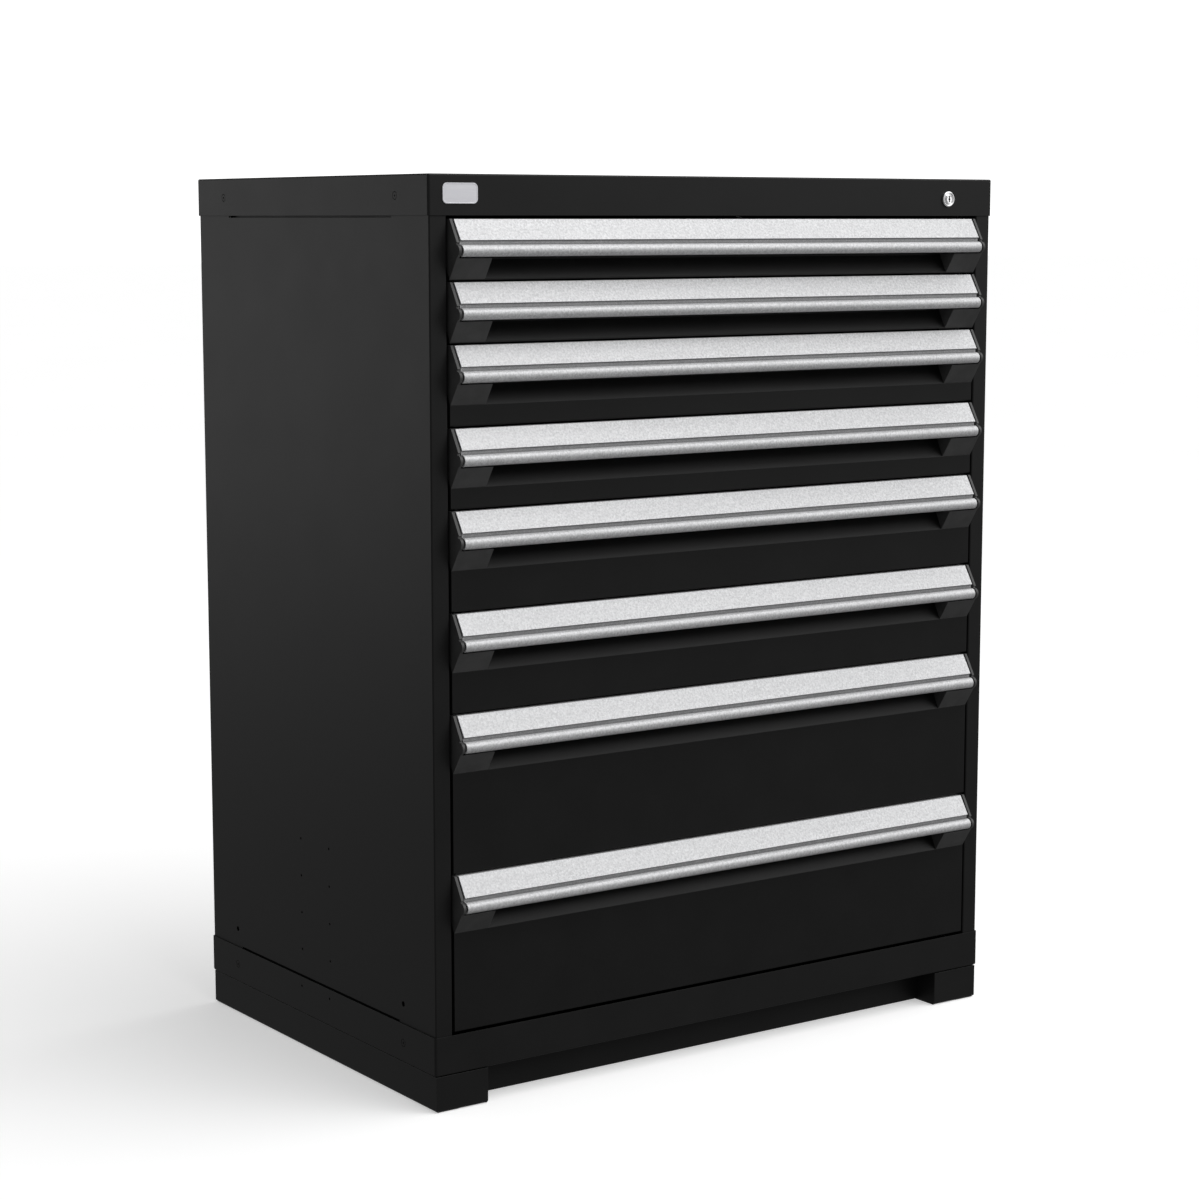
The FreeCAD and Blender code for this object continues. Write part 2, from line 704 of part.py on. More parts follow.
def with_rollers(name, rail, middle, root, radius):
    """A rail with two pins, each with its roller. A pin runs from the rail's web to the roller's far
    face."""
    pins, rollers = [], []
    near, far = f"{middle} - dim.roller_wide / 2", f"{middle} + dim.roller_wide / 2"
    for where in ("near", "far"):
        centre = ("0", f"{SLIDE_FRONT} + dim.roller_{where}", "dim.slide_middle")
        pins.append(rod(f"{name}_pin", "x", centre, (f"{near} - 0.5", root), "dim.pin_radius"))
        wheel = rod(f"{name}_wheel", "x", centre, (near, far), radius)
        bore = rod(f"{name}_bore", "x", centre, (near, far), "dim.pin_radius + dim.pin_play")
        rollers.append(carved(f"{name}_roller", wheel, [bore]))
    return grouped(f"{name}_with_rollers", [joined(f"{name}_rail", [rail] + pins)] + rollers)


def make_front_space():
    """The space in front of the back of a drawer's front sheet, below the top of its handle."""
    ahead = f"{FRONT} - dim.flange"
    back = f"{FACE} + dim.tray_skin"
    deep = f"{back} + dim.recess_deep"
    outline = [
        (ahead, "-dim.row_tall"),
        (back, "-dim.row_tall"),
        (back, "-dim.recess_low - dim.tray_skin / 4"),
        (deep, "-dim.recess_high - dim.tray_skin / 4"),
        (deep, "dim.flange"),
        (ahead, "dim.flange"),
    ]
    half = "dim.front_half + 1"
    return profile("behind_front", "YZ", outline, (f"-({half})", half))


def make_tray_front(name, top, behind):
    """The drawer's front, wider than the tray so that it hides the slides. Its sheet is parted at the back
    of the finger recess, and the folds along its bottom and its ends meet the sheet's back."""
    skin = "dim.tray_skin"
    deep = f"{FACE} + dim.recess_deep"
    low_bend, high_bend = f"{top} - dim.recess_low", f"{top} - dim.recess_high"
    faces = [(FACE, "dim.gap_below"), (FACE, low_bend), (deep, high_bend), (deep, f"{top} - {skin}")]
    backs = [
        (f"{FACE} + {skin}", "dim.gap_below"),
        (f"{FACE} + {skin}", f"{low_bend} - {skin} / 4"),
        (f"{deep} + {skin}", f"{high_bend} - {skin} / 4"),
        (f"{deep} + {skin}", f"{top} - {skin}"),
    ]
    half = "dim.front_half"
    wide = (f"-{half}", half)
    lower = profile(f"{name}_lower", "YZ", faces[:3] + backs[2::-1], wide)
    upper = profile(f"{name}_upper", "YZ", faces[2:] + backs[:1:-1], wide)

    fold_y = (FACE, f"{FACE} + dim.flange")
    fold_x = (f"-({half} - {skin})", f"{half} - {skin}")
    folds = [box(f"{name}_flange", fold_x, fold_y, ("dim.gap_below", f"dim.gap_below + {skin}"))]
    for sign in ("", "-"):
        end_x = sorted_limits(sign, f"{half} - {skin}", half)
        folds.append(box(f"{name}_end", end_x, fold_y, ("dim.gap_below", f"{top} - {skin}")))
    folds[1] = joined(f"{name}_end_and_catch", [folds[1], make_catch(name)])
    return [lower, upper] + [carved(f"{name}_fold", fold, [behind]) for fold in folds]


def slot_cutters(name, along, starts, across, slot_z):
    """Upright slots for dividers, through a wall that runs along x or y."""
    cutters = []
    for start in starts:
        run = (start, f"{start} + dim.slot_width")
        x, y = (run, across) if along == "x" else (across, run)
        cutters.append(box(name, x, y, slot_z))
    return cutters


def make_tray(row, behind):
    """A steel drawer at the bottom of its row, of sheets welded where they meet."""
    name = f"tray_{row}"
    top = f"dim.{row} - dim.gap_above"
    skin = "dim.tray_skin"
    half = "dim.tray_half"
    bench = f"(dim.gap_below + 2 * {skin})"
    side_top = f"(dim.{row} - dim.tray_drop)"
    wall_y = (FACE, TRAY_REAR)
    inner = f"({half} - {skin})"
    ahead = moved(f"{name}_ahead", behind, z=top)
    slot_z = (f"{side_top} / 5", f"{side_top} - 2 * dim.hem")

    floor = box(f"{name}_floor", (f"-{half}", half), wall_y, (f"{bench} - {skin}", bench))
    sheets = make_tray_front(name, top, ahead) + [carved(f"{name}_floor_cut", floor, [ahead])]

    spread = int(SIZES["rear_slot_count"]) // 2
    starts = [f"{number} * dim.slot_pitch - dim.slot_width / 2" for number in range(-spread, spread + 1)]
    rear_x = (f"-{inner}", inner)
    rear_y = (f"{TRAY_REAR} - {skin}", TRAY_REAR)
    rear = box(f"{name}_rear", rear_x, rear_y, (bench, side_top))
    hem_y = (f"{TRAY_REAR} - {skin}", f"{TRAY_REAR} + dim.hem")
    hem = box(f"{name}_rear_hem", rear_x, hem_y, (f"{side_top} - {skin}", side_top))
    through = (f"{TRAY_REAR} - 2 * {skin}", f"{TRAY_REAR} + 1")
    cutters = slot_cutters("rear_slot", "x", starts, through, slot_z)
    sheets.append(carved(f"{name}_rear_slotted", joined(f"{name}_rear_folded", [rear, hem]), cutters))

    first = f"{FACE} + dim.slot_start"
    starts = [f"{first} + {number} * dim.slot_pitch" for number in range(int(SIZES["slot_count"]))]
    for sign, side in (("", "right"), ("-", "left")):
        wall = box(f"{name}_{side}", sorted_limits(sign, inner, half), wall_y, (bench, side_top))
        hem_x = sorted_limits(sign, inner, f"{half} + dim.hem")
        hem = box(f"{name}_{side}_hem", hem_x, wall_y, (f"{side_top} - {skin}", side_top))
        through = sorted_limits(sign, f"{inner} - 1", f"{half} + 1")
        cutters = slot_cutters("side_slot", "y", starts, through, slot_z)
        folded = joined(f"{name}_{side}_folded", [wall, hem])
        sheets.append(carved(f"{name}_{side}_slotted", folded, [ahead] + cutters))
    return grouped(name, sheets)


def sorted_limits(sign, inner, outer):
    """The limits of a wall on the right, or of the same wall on the left."""
    return (f"-({outer})", f"-({inner})") if sign == "-" else (inner, outer)


def make_catch(name):
    """The hook at a drawer's right end that the lock bar's lug rises into."""
    x = ("dim.catch_out - dim.catch_skin", "dim.catch_out")
    high = "dim.catch_level + dim.catch_tall"
    root = f"{FACE} + dim.flange"
    rear = f"{FRONT} + dim.catch_rear"
    plate = box(f"{name}_catch", x, (FACE, rear), ("dim.catch_level", high))
    notch_y = (f"{root} + dim.catch_skin", f"{rear} - dim.catch_hook")
    notch = box(f"{name}_notch", x, notch_y, ("dim.catch_level", f"{high} - dim.catch_bridge"))
    return carved(f"{name}_hook", plate, [notch])


def make_handle():
    """The aluminium extrusion at the top of its row: a sloping face, a groove and a rolled bead."""
    back = f"{FACE} + dim.recess_deep"
    skin = "dim.handle_skin"
    rise = "(dim.slope_out + dim.lip) / dim.slope_down"
    inner_top = f"{FRONT} + dim.lip - {skin} * {rise} + dim.handle_wall"
    inner_low = "dim.slope_down - dim.handle_web"
    inner_out = f"{FRONT} + dim.lip - ({inner_low}) * {rise} + dim.handle_wall"
    bead = (f"{FRONT} - dim.bead_out", "-dim.bead_down")
    outer_arc = (*bead, "dim.bead_radius", 1)
    inner_arc = (*bead, f"dim.bead_radius - {skin}", -1)
    groove = f"{FRONT} - dim.slope_out + dim.groove_in"
    outline = [
        (back, "0"),
        (f"{FRONT} + dim.lip", "0"),
        (f"{FRONT} - dim.slope_out", "-dim.slope_down"),
        (groove, "-dim.slope_down - dim.groove_in / 2"),
        (f"{bead[0]} + dim.neck_back", "-dim.bead_down + dim.bead_radius", outer_arc),
        (bead[0], "-dim.bead_down - dim.bead_radius"),
        (bead[0], f"-dim.bead_down - dim.bead_radius + {skin}", inner_arc),
        (bead[0], f"-dim.bead_down + dim.bead_radius - {skin}"),
        (inner_out, f"-dim.bead_down + dim.bead_radius + {skin} / 4"),
        (inner_out, f"-({inner_low})"),
        (inner_top, f"-{skin}"),
        (f"{back} - {skin}", f"-{skin}"),
        (f"{back} - {skin}", "-dim.bead_down + dim.lip"),
        (back, "-dim.bead_down + dim.lip"),
    ]
    return profile("handle_section", "YZ", outline, ("-dim.handle_half", "dim.handle_half"))


def make_end_caps():
    """Moulded ends of the handle: a side plate with a rounded nose, a wedge under the handle and a plug
    inside it."""
    back = f"{FACE} + dim.recess_deep"
    slope = (f"{FRONT} - dim.cap_slope_out", "-dim.cap_slope_down")
    nose = (f"{FRONT} - dim.nose_out", "-dim.nose_down", "dim.nose_radius", 1)
    wedge = [
        (f"{FRONT} - dim.bracket_out", "-dim.bracket_top"),
        (FACE, "-dim.recess_low"),
        (back, "-dim.recess_high"),
    ]
    plate = [
        (back, "dim.cap_top"),
        (f"{FRONT} + dim.cap_top", "dim.cap_top"),
        slope,
        (f"{slope[0]} + dim.groove_in", slope[1]),
        (f"{nose[0]} - dim.cap_top", "-dim.nose_down + dim.nose_radius", nose),
        (f"{nose[0]} - dim.nose_radius * 0.3", "-dim.nose_down - dim.nose_radius * 0.95"),
    ]
    inset = "dim.cap_plug_inset"
    plug = [
        (f"{back} - {inset}", f"-{inset}"),
        (f"{FRONT} + {inset}", f"-{inset}"),
        (f"{FRONT} - dim.slope_out + dim.cap_plug_front", "-dim.slope_down + dim.handle_skin"),
        (f"{FRONT} - dim.slope_out + dim.cap_plug_front", "-dim.bead_down + dim.bead_radius"),
        (f"{FRONT} - dim.bead_out - dim.handle_skin", "-dim.bead_down + dim.handle_skin"),
        (f"{FRONT} - dim.bead_out - dim.handle_skin", "-dim.bead_down - dim.handle_skin"),
        (f"{FRONT} - dim.bead_out + 1", "-dim.bead_down - 2.5 * dim.handle_skin"),
        (f"{FRONT} - dim.bead_out + dim.bead_radius", "-dim.bead_down - dim.handle_skin"),
        (f"{back} - {inset}", "-dim.bead_down / 3"),
    ]
    behind_plate = "dim.cap_half - dim.cap_skin / 2"
    plate_x = ("dim.cap_half - dim.cap_skin", "dim.cap_half")
    wedge_x = ("dim.cap_half - dim.bracket_width", behind_plate)
    plug_x = ("dim.cap_half - 3 * dim.cap_skin", behind_plate)
    pieces = [
        profile("cap_plate", "YZ", plate + wedge, plate_x),
        profile("cap_wedge", "YZ", wedge + [(back, "-dim.bracket_top")], wedge_x),
        profile("cap_plug", "YZ", plug, plug_x),
    ]
    right = joined("end_cap_right", pieces)
    return grouped("end_caps", [right, mirrored("end_cap_left", right)])


def row_levels():
    """The bottom of each row, from the top drawer down."""
    levels = []
    for index in range(len(ROWS)):
        below = [f"dim.{row}" for row in ROWS[index + 1 :]]
        levels.append(" + ".join([GRID] + below))
    return levels


def make_drawers():
    fixed, inter, runner = make_slide_parts()
    runners = grouped("runners", [runner, mirrored("runner_left", runner)])
    members = grouped("members", [inter, mirrored("inter_left", inter)])
    fixed_left = mirrored("fixed_left", fixed)
    handle = make_handle()
    caps = make_end_caps()
    behind = make_front_space()
    trays = {row: make_tray(row, behind) for row in sorted(set(ROWS))}
    rails = {"right": [], "left": []}
    for number, (row, level) in enumerate(zip(ROWS, row_levels()), start=1):
        top = f"{level} + dim.{row} - dim.gap_above"
        subpart(f"drawer_{number}_tray", moved(f"drawer_{number}_tray", trays[row], z=level))
        subpart(f"drawer_{number}_handle", moved(f"drawer_{number}_handle", handle, z=top))
        subpart(f"drawer_{number}_end_caps", moved(f"drawer_{number}_end_caps", caps, z=top))
        subpart(f"drawer_{number}_runners", moved(f"drawer_{number}_runners", runners, z=level))
        subpart(f"slide_{number}_members", moved(f"slide_{number}_members", members, z=level))
        rails["right"].append(moved(f"rail_{number}_right", fixed, z=level))
        rails["left"].append(moved(f"rail_{number}_left", fixed_left, z=level))
    for side, copies in rails.items():
        subpart(f"drawer_rails_{side}", grouped(f"drawer_rails_{side}", copies))


def make_lock():
    """A key lock in the top cover. Its cam pin lifts the lock bar, whose lugs rise into the catches."""
    axis = ("dim.lock_across", "0", "dim.lock_level")
    through = (f"{FRONT} - dim.barrel_length", f"{FRONT} + 2 * dim.barrel_length")
    bore = rod("barrel_bore", "y", axis, through, "dim.core_radius + dim.core_play")
    bezel = rod("lock_bezel", "y", axis, (f"{FRONT} - dim.bezel_out", FRONT), "dim.bezel_radius")
    barrel = rod("lock_tube", "y", axis, (FRONT, f"{FRONT} + dim.barrel_length"), "dim.barrel_radius")
    barrel = carved("barrel_bored", joined("barrel_blank", [bezel, barrel]), [bore])
    nut = document.addObject("Part::Prism", "nut_blank")
    nut.Polygon = 6
    nut.setExpression("Circumradius", "dim.nut_radius")
    nut.setExpression("Height", "dim.nut_thick")
    nut.Placement = FreeCAD.Placement(Vector(), FreeCAD.Rotation(Vector(1, 0, 0), -90))
    place(nut, axis[0], f"{FRONT} + dim.skin", axis[2])
    hole = rod("nut_bore", "y", axis, through, "dim.barrel_radius + dim.pin_play")
    subpart("lock_barrel", grouped("lock_barrel", [barrel, carved("lock_nut", nut, [hole])]))

    tail = f"{FRONT} + dim.core_tail"
    plug = rod("core_plug", "y", axis, (f"{FRONT} - dim.core_out", tail), "dim.core_radius")
    key_x = ("dim.lock_across - dim.key_wide / 2", "dim.lock_across + dim.key_wide / 2")
    key_z = ("dim.lock_level - dim.key_tall / 2", "dim.lock_level + dim.key_tall / 2")
    keyway = box("keyway", key_x, (through[0], f"{FRONT} + dim.key_deep"), key_z)
    half = "dim.cam_arm * 0.6"
    far = "dim.cam_arm * 1.1"
    corners = [
        (half, f"-{half}"),
        (f"-{half}", half),
        (f"-{far} - {half}", f"-{far} + {half}"),
        (f"-{far} + {half}", f"-{far} - {half}"),
    ]
    outline = [(f"dim.lock_across + {x}", f"dim.lock_level + {z}") for x, z in corners]
    cam_y = (f"{tail} - 1", f"{tail} + dim.cam_thick")
    cam = profile("cam_arm", "XZ", outline, cam_y)
    pin_spot = ("dim.lock_across - dim.cam_arm", "0", "dim.lock_level - dim.cam_arm")
    pin = rod("cam_pin", "y", pin_spot, (tail, f"{cam_y[1]} + dim.pin_long"), "dim.cam_pin")
    subpart("lock_core", joined("lock_core", [carved("core_cut", plug, [keyway]), cam, pin]))

    y = (f"{FRONT} + dim.bar_front", f"{FRONT} + dim.bar_front + dim.bar_skin")
    pin_level = "dim.lock_level - dim.cam_arm"
    arm_z = (f"{pin_level} - dim.arm_tall / 2", f"{pin_level} + dim.arm_tall / 2")
    pieces = [
        box("bar_upright", ("dim.bar_near", "dim.bar_far"), y, (f"{GRID} + dim.arm_tall", arm_z[1])),
        box("bar_arm", ("dim.arm_near", "dim.bar_far"), y, arm_z),
    ]
    lug_x = ("dim.lug_near", "dim.bar_near + 1")
    for level in row_levels():
        low = f"{level} + dim.lug_level"
        pieces.append(box("bar_lug", lug_x, y, (low, f"{low} + dim.lug_tall")))
    play = "dim.cam_pin + dim.arm_slot_play"
    # The pin starts 45 degrees below level and swings through the arm's full length.
    swing = "dim.cam_arm * sqrt(2)"
    slot_x = (f"dim.lock_across - {swing} - ({play})", f"dim.lock_across - dim.cam_arm + {play}")
    slot = box("arm_slot", slot_x, y, (f"{pin_level} - ({play})", f"{pin_level} + {play}"))
    subpart("lock_bar", carved("lock_bar", joined("bar_blank", pieces), [slot]))


def make_badge():
    """A small blank plate on the top cover."""
    x = ("dim.badge_across - dim.badge_wide / 2", "dim.badge_across + dim.badge_wide / 2")
    z = ("dim.badge_level - dim.badge_tall / 2", "dim.badge_level + dim.badge_tall / 2")
    plate = box("badge_plate", x, (f"{FRONT} - dim.badge_thick", FRONT), z)
    subpart("badge", rounded("badge", plate, "dim.badge_round", lambda middle, run: abs(run.y) > 0.9))


def check_and_export():
    document.recompute()
    failed = [item.Name for item in document.Objects if {"Invalid", "Error"} & set(item.State)]
    assert not failed, f"these objects failed: {failed}"
    os.makedirs("parts", exist_ok=True)
    for item in subparts:
        shape = item.Shape
        assert not shape.isNull() and shape.isValid(), f"{item.Label} has no valid shape"
        shape.exportStep(f"parts/{item.Label}.step")
        limits = shape.BoundBox
        print(f"{item.Label}: {len(shape.Solids)} solids, {shape.Volume / 1000:.1f} cm3, "
              f"x {limits.XMin:.1f} {limits.XMax:.1f}, y {limits.YMin:.1f} {limits.YMax:.1f}, "
              f"z {limits.ZMin:.1f} {limits.ZMax:.1f}")


fill_sheet()
make_covers()
make_side_panels()
make_back_panel()
make_screws()
make_base_rails()
make_toe_panels()
make_uprights()
make_drawers()
make_lock()
make_badge()
check_and_export()
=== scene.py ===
import math

import bmesh
import bpy
from mathutils import Matrix, Vector


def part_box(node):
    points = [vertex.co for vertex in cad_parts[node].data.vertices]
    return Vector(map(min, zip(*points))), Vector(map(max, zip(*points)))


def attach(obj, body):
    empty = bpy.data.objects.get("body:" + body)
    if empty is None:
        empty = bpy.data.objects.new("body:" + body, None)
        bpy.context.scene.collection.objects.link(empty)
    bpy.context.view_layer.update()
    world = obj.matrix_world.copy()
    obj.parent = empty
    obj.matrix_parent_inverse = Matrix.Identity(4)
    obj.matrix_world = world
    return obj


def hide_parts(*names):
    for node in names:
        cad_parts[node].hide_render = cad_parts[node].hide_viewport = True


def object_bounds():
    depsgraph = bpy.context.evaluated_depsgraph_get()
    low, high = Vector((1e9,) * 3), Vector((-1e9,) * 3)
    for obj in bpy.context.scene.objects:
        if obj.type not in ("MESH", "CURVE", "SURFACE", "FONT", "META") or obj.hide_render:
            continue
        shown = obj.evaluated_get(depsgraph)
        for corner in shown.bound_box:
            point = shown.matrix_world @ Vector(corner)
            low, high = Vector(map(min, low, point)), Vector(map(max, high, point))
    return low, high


# A tall steel drawer cabinet. Lengths are in millimetres until a mesh is made; +Z is up and the drawers
# open towards -Y, as in the frame.

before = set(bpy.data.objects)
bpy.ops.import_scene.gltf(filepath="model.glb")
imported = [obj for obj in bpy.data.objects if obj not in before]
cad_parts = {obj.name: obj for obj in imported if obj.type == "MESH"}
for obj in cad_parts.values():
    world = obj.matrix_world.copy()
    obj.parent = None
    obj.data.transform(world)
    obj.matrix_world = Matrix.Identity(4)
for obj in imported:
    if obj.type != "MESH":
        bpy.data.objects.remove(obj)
cad_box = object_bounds()

MM = 0.001
COUNT = 8
SIDES = (("right", 1), ("left", -1))


def span(node):
    """A node's limits along x, y and z."""
    low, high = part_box(node)
    return [(low[axis] / MM, high[axis] / MM) for axis in range(3)]


COVER_X, COVER_Y, TOP_Z = span("top_cover")
LOW_Z = span("bottom_cover")[2]
PANEL_X, PANEL_Y, PANEL_Z = span("side_panel_right")
BACK_X, BACK_Y = span("back_panel")[:2]
BADGE_X, BADGE_Y, BADGE_Z = span("badge")
CORE_Y = span("lock_core")[1]
BARREL_X, BARREL_Y, BARREL_Z = span("lock_barrel")
CAPS_X = span("drawer_1_end_caps")[0]
HANDLE_X, HANDLE_Y = span("drawer_1_handle")[:2]
FRONT = COVER_Y[0]
FACE = PANEL_Y[0]
WALL = PANEL_X[1]
POST = PANEL_X[0]
RECESS = HANDLE_Y[1]  # the back of the finger recess
PAST = 4.0  # how far a cutter runs past the sheet that it cuts

# The housing
ROUND = 2.2  # bends of the covers
SHEET = 1.5
BEND = 0.5  # radius inside the walls' bends
POST_DEPTH = 32.0  # the walls' posts behind the front
BACK_FLANGE = 24.0
SCREW_Y = (FRONT + 78.5, FRONT + 532.0)
SCREW_Z = (TOP_Z[0] + 24.2, LOW_Z[0] + 25.1)
SCREW_HEAD, SCREW_HOLE = 4.6, 5.2
SCREW_SHANK, THREAD_HOLE = 2.4, 2.6
# Pilot holes in the sides, bolt holes to a neighbouring cabinet, and access holes for the floor anchors
PILOT_Y = (FRONT + 269.2, FRONT + 345.4)
PILOT_Z = [85.3 + 51.0 * number for number in range(5)]
PILOT_HOLE = 1.75
GANG_Y, GANG_Z = (FRONT + 80.7, FRONT + 533.8), 123.5
GANG_HOLE = 3.5
ANCHOR_X, ANCHOR_Y = WALL - 18.4, (FRONT + 110.0, FRONT + 500.0)
ANCHOR_HOLE = 13.0
VENT_Y = (FRONT + 90.0, FRONT + 520.5)
VENT_SHOW, VENT_HIDDEN = 2.4, 5.0  # how far a vent shows beside a cover's edge, and runs on behind it
HEM_GAP, HEM_REACH, HEM_PAST = 5.0, 12.0, 5.5  # the side walls' folded edges behind the vents
BACK_SCREW_X = WALL - 12.0
BACK_SCREW_Z = [PANEL_Z[0] + share * (PANEL_Z[1] - PANEL_Z[0]) for share in (0.08, 0.3, 0.5, 0.7, 0.92)]

# The drawers
SKIN = 1.2
FOLD = 0.6  # radius inside a tray's bends
FLANGE = 14.4  # the front's bottom flange
HEM = 6.5  # the flanges along a tray's top edges
RECESS_LOW, RECESS_HIGH = 73.0, 49.0  # the finger recess's bends, below the handle's top
ROW_GAP = 2.0  # from the top of a handle to the next row
FRONT_UP, FLOOR_UP = 0.8, 2.0  # the front's bottom edge and the tray's floor, above the row's start
FRONT_HALF = CAPS_X[1] + 0.2
TRAY_HALF = span("drawer_1_runners")[0][1] - 13.5
TRAY_REAR = span("drawer_1_tray")[1][1] - HEM
TRAY_SUNK = 16.0  # the side walls' top edge below the row's top
SLOT_PITCH, SLOT_WIDTH, SLOT_START = 25.4, 2.4, 56.0
SLOT_COUNT, REAR_SLOTS = 20, 27
# The catch for the lock bar at a front's right end
CATCH_Z = (53.0, 66.0)
CATCH_X = (FRONT_HALF - 2.6, FRONT_HALF - 0.6)
CATCH_REAR = FRONT + 46.0
CATCH_HOOK, CATCH_TIP = 3.0, 6.0
HANDLE_SKIN = 2.0
CAP_SIDE = 3.6  # thickness of an end cap's side plate
# From an end cap's outer face: the wedge's far end, where wedge and plug start, and the plug's far end
CAP_LONG, CAP_STEP, PLUG_IN = 51.0, 1.8, 10.8

# The lock
LOCK = ((BARREL_X[0] + BARREL_X[1]) / 2, (BARREL_Z[0] + BARREL_Z[1]) / 2)
LOCK_HOLE = 9.5
PLUG = 6.0  # radius of the turning core
CAM_Y = (FRONT + 30.0, FRONT + 33.0)
CAM_PIN = 5.0  # from the axis to the cam's pin, along x and z


# ---------------------------------------------------------------- outlines

def turned(direction):
    """A quarter turn to the left."""
    return Vector((-direction.y, direction.x))


def folded(path, thick, inner, steps=4):
    """Both faces of a folded sheet. One face follows the path; the sheet lies on its left."""
    points = [Vector(point) for point in path]
    face, back = [], []
    for number, here in enumerate(points):
        ahead = (points[number + 1] - here).normalized() if number + 1 < len(points) else None
        behind = (here - points[number - 1]).normalized() if number else None
        if ahead is None or behind is None:
            normal = turned(ahead or behind)
            face.append(here.copy())
            back.append(here + normal * thick)
            continue
        turn = math.atan2(behind.cross(ahead), behind.dot(ahead))
        sign = 1 if turn > 0 else -1
        near, far = (inner + thick, inner) if turn > 0 else (inner, inner + thick)
        centre = here - behind * near * math.tan(abs(turn) / 2) + turned(behind) * near * sign
        for step in range(steps + 1):
            spoke = -turned(behind) * sign
            angle = turn * step / steps
            spoke = Vector((spoke.x * math.cos(angle) - spoke.y * math.sin(angle),
                            spoke.x * math.sin(angle) + spoke.y * math.cos(angle)))
            face.append(centre + spoke * near)
            back.append(centre + spoke * far)
    return face, back


def arc(centre, radius, start, stop, steps):
    """Points on an arc, angles in degrees."""
    angles = [math.radians(start + (stop - start) * step / steps) for step in range(steps + 1)]
    return [Vector((centre[0] + radius * math.cos(a), centre[1] + radius * math.sin(a))) for a in angles]


def soften(outline, radius, steps=3):
    """Rounds the sharp corners of a closed outline."""
    points = [Vector(point) for point in outline]
    rounded = []
    for number, here in enumerate(points):
        back, on = points[number - 1] - here, points[(number + 1) % len(points)] - here
        angle = back.angle(on, math.pi)
        if angle > math.radians(155) or min(back.length, on.length) < 0.05:
            rounded.append(here)
            continue
        reach = min(radius / math.tan(angle / 2), back.length * 0.45, on.length * 0.45)
        start, stop = here + back.normalized() * reach, here + on.normalized() * reach
        for step in range(steps + 1):
            t = step / steps
            rounded.append(start * (1 - t) ** 2 + here * 2 * t * (1 - t) + stop * t * t)
    return rounded


def rounded_rectangle(x, y, inset, radius, steps=4):
    radius = max(radius - inset, 0.15)
    near = inset + radius
    left, right, low, high = x[0] + near, x[1] - near, y[0] + near, y[1] - near
    points = []
    for number, centre in enumerate(((right, high), (left, high), (left, low), (right, low))):
        points += arc(centre, radius, 90 * number, 90 * number + 90, steps)
    return points


# ---------------------------------------------------------------- meshes

def lift(point, axis, level):
    a, b = point
    return {"x": (level, a, b), "y": (a, level, b), "z": (a, b, level)}[axis]


def skin_rings(bm, rings, closed=True):
    """A solid through rings that have equal numbers of points."""
    rows = [[bm.verts.new(Vector(point) * MM) for point in ring] for ring in rings]
    for low, high in zip(rows, rows[1:]):
        for number in range(len(low)):
            following = (number + 1) % len(low)
            bm.faces.new((low[number], low[following], high[following], high[number]))
    if closed:
        bm.faces.new(reversed(rows[0]))
        bm.faces.new(rows[-1])


def prism(bm, outline, axis, low, high):
    skin_rings(bm, [[lift(point, axis, level) for point in outline] for level in (low, high)])


def folded_prism(bm, sheet, axis, low, high):
    """A folded sheet between two limits, its ends closed with quads."""
    rows = []
    for level in (low, high):
        places = [[Vector(lift(point, axis, level)) * MM for point in side] for side in sheet]
        rows.append([[bm.verts.new(place) for place in side] for side in places])
    (near_face, near_back), (far_face, far_back) = rows
    for number in range(len(near_face) - 1):
        following = number + 1
        bm.faces.new((near_face[number], near_face[following], far_face[following], far_face[number]))
        bm.faces.new((near_back[following], near_back[number], far_back[number], far_back[following]))
        bm.faces.new((near_face[following], near_face[number], near_back[number], near_back[following]))
        bm.faces.new((far_face[number], far_face[following], far_back[following], far_back[number]))
    for end in (0, -1):
        bm.faces.new((near_face[end], far_face[end], far_back[end], near_back[end]))


def block(bm, x, y, z):
    prism(bm, [(x[0], y[0]), (x[1], y[0]), (x[1], y[1]), (x[0], y[1])], "z", *z)


def lathe(bm, profile, axis, centre, steps=48):
    """Turns a profile of (place along the axis, radius) about an axis. Both ends are closed."""
    rings = []
    for level, radius in profile:
        ring = arc(centre, max(radius, 0.01), 0, 360, steps)[:-1]
        rings.append([lift(point, axis, level) for point in ring])
    skin_rings(bm, rings)


def mesh_of(name, bm):
    bmesh.ops.recalc_face_normals(bm, faces=bm.faces)
    mesh = bpy.data.meshes.new(name)
    bm.to_mesh(mesh)
    bm.free()
    return mesh


def built(name, make):
    bm = bmesh.new()
    make(bm)
    return mesh_of(name, bm)


def combined(name, base, tools, operation="DIFFERENCE"):
    """A mesh after a boolean with each tool mesh."""
    holder = bpy.data.objects.new(name, base)
    bpy.context.scene.collection.objects.link(holder)
    helpers = [holder]
    for tool in tools:
        helper = bpy.data.objects.new(f"{name}_tool", tool)
        bpy.context.scene.collection.objects.link(helper)
        helpers.append(helper)
        modifier = holder.modifiers.new("boolean", "BOOLEAN")
        modifier.object = helper
        modifier.operation = operation
        modifier.solver = "EXACT"
    bpy.context.view_layer.update()
    graph = bpy.context.evaluated_depsgraph_get()
    result = bpy.data.meshes.new_from_object(holder.evaluated_get(graph))
    result.name = name
    for helper in helpers:
        bpy.data.objects.remove(helper)
    return result


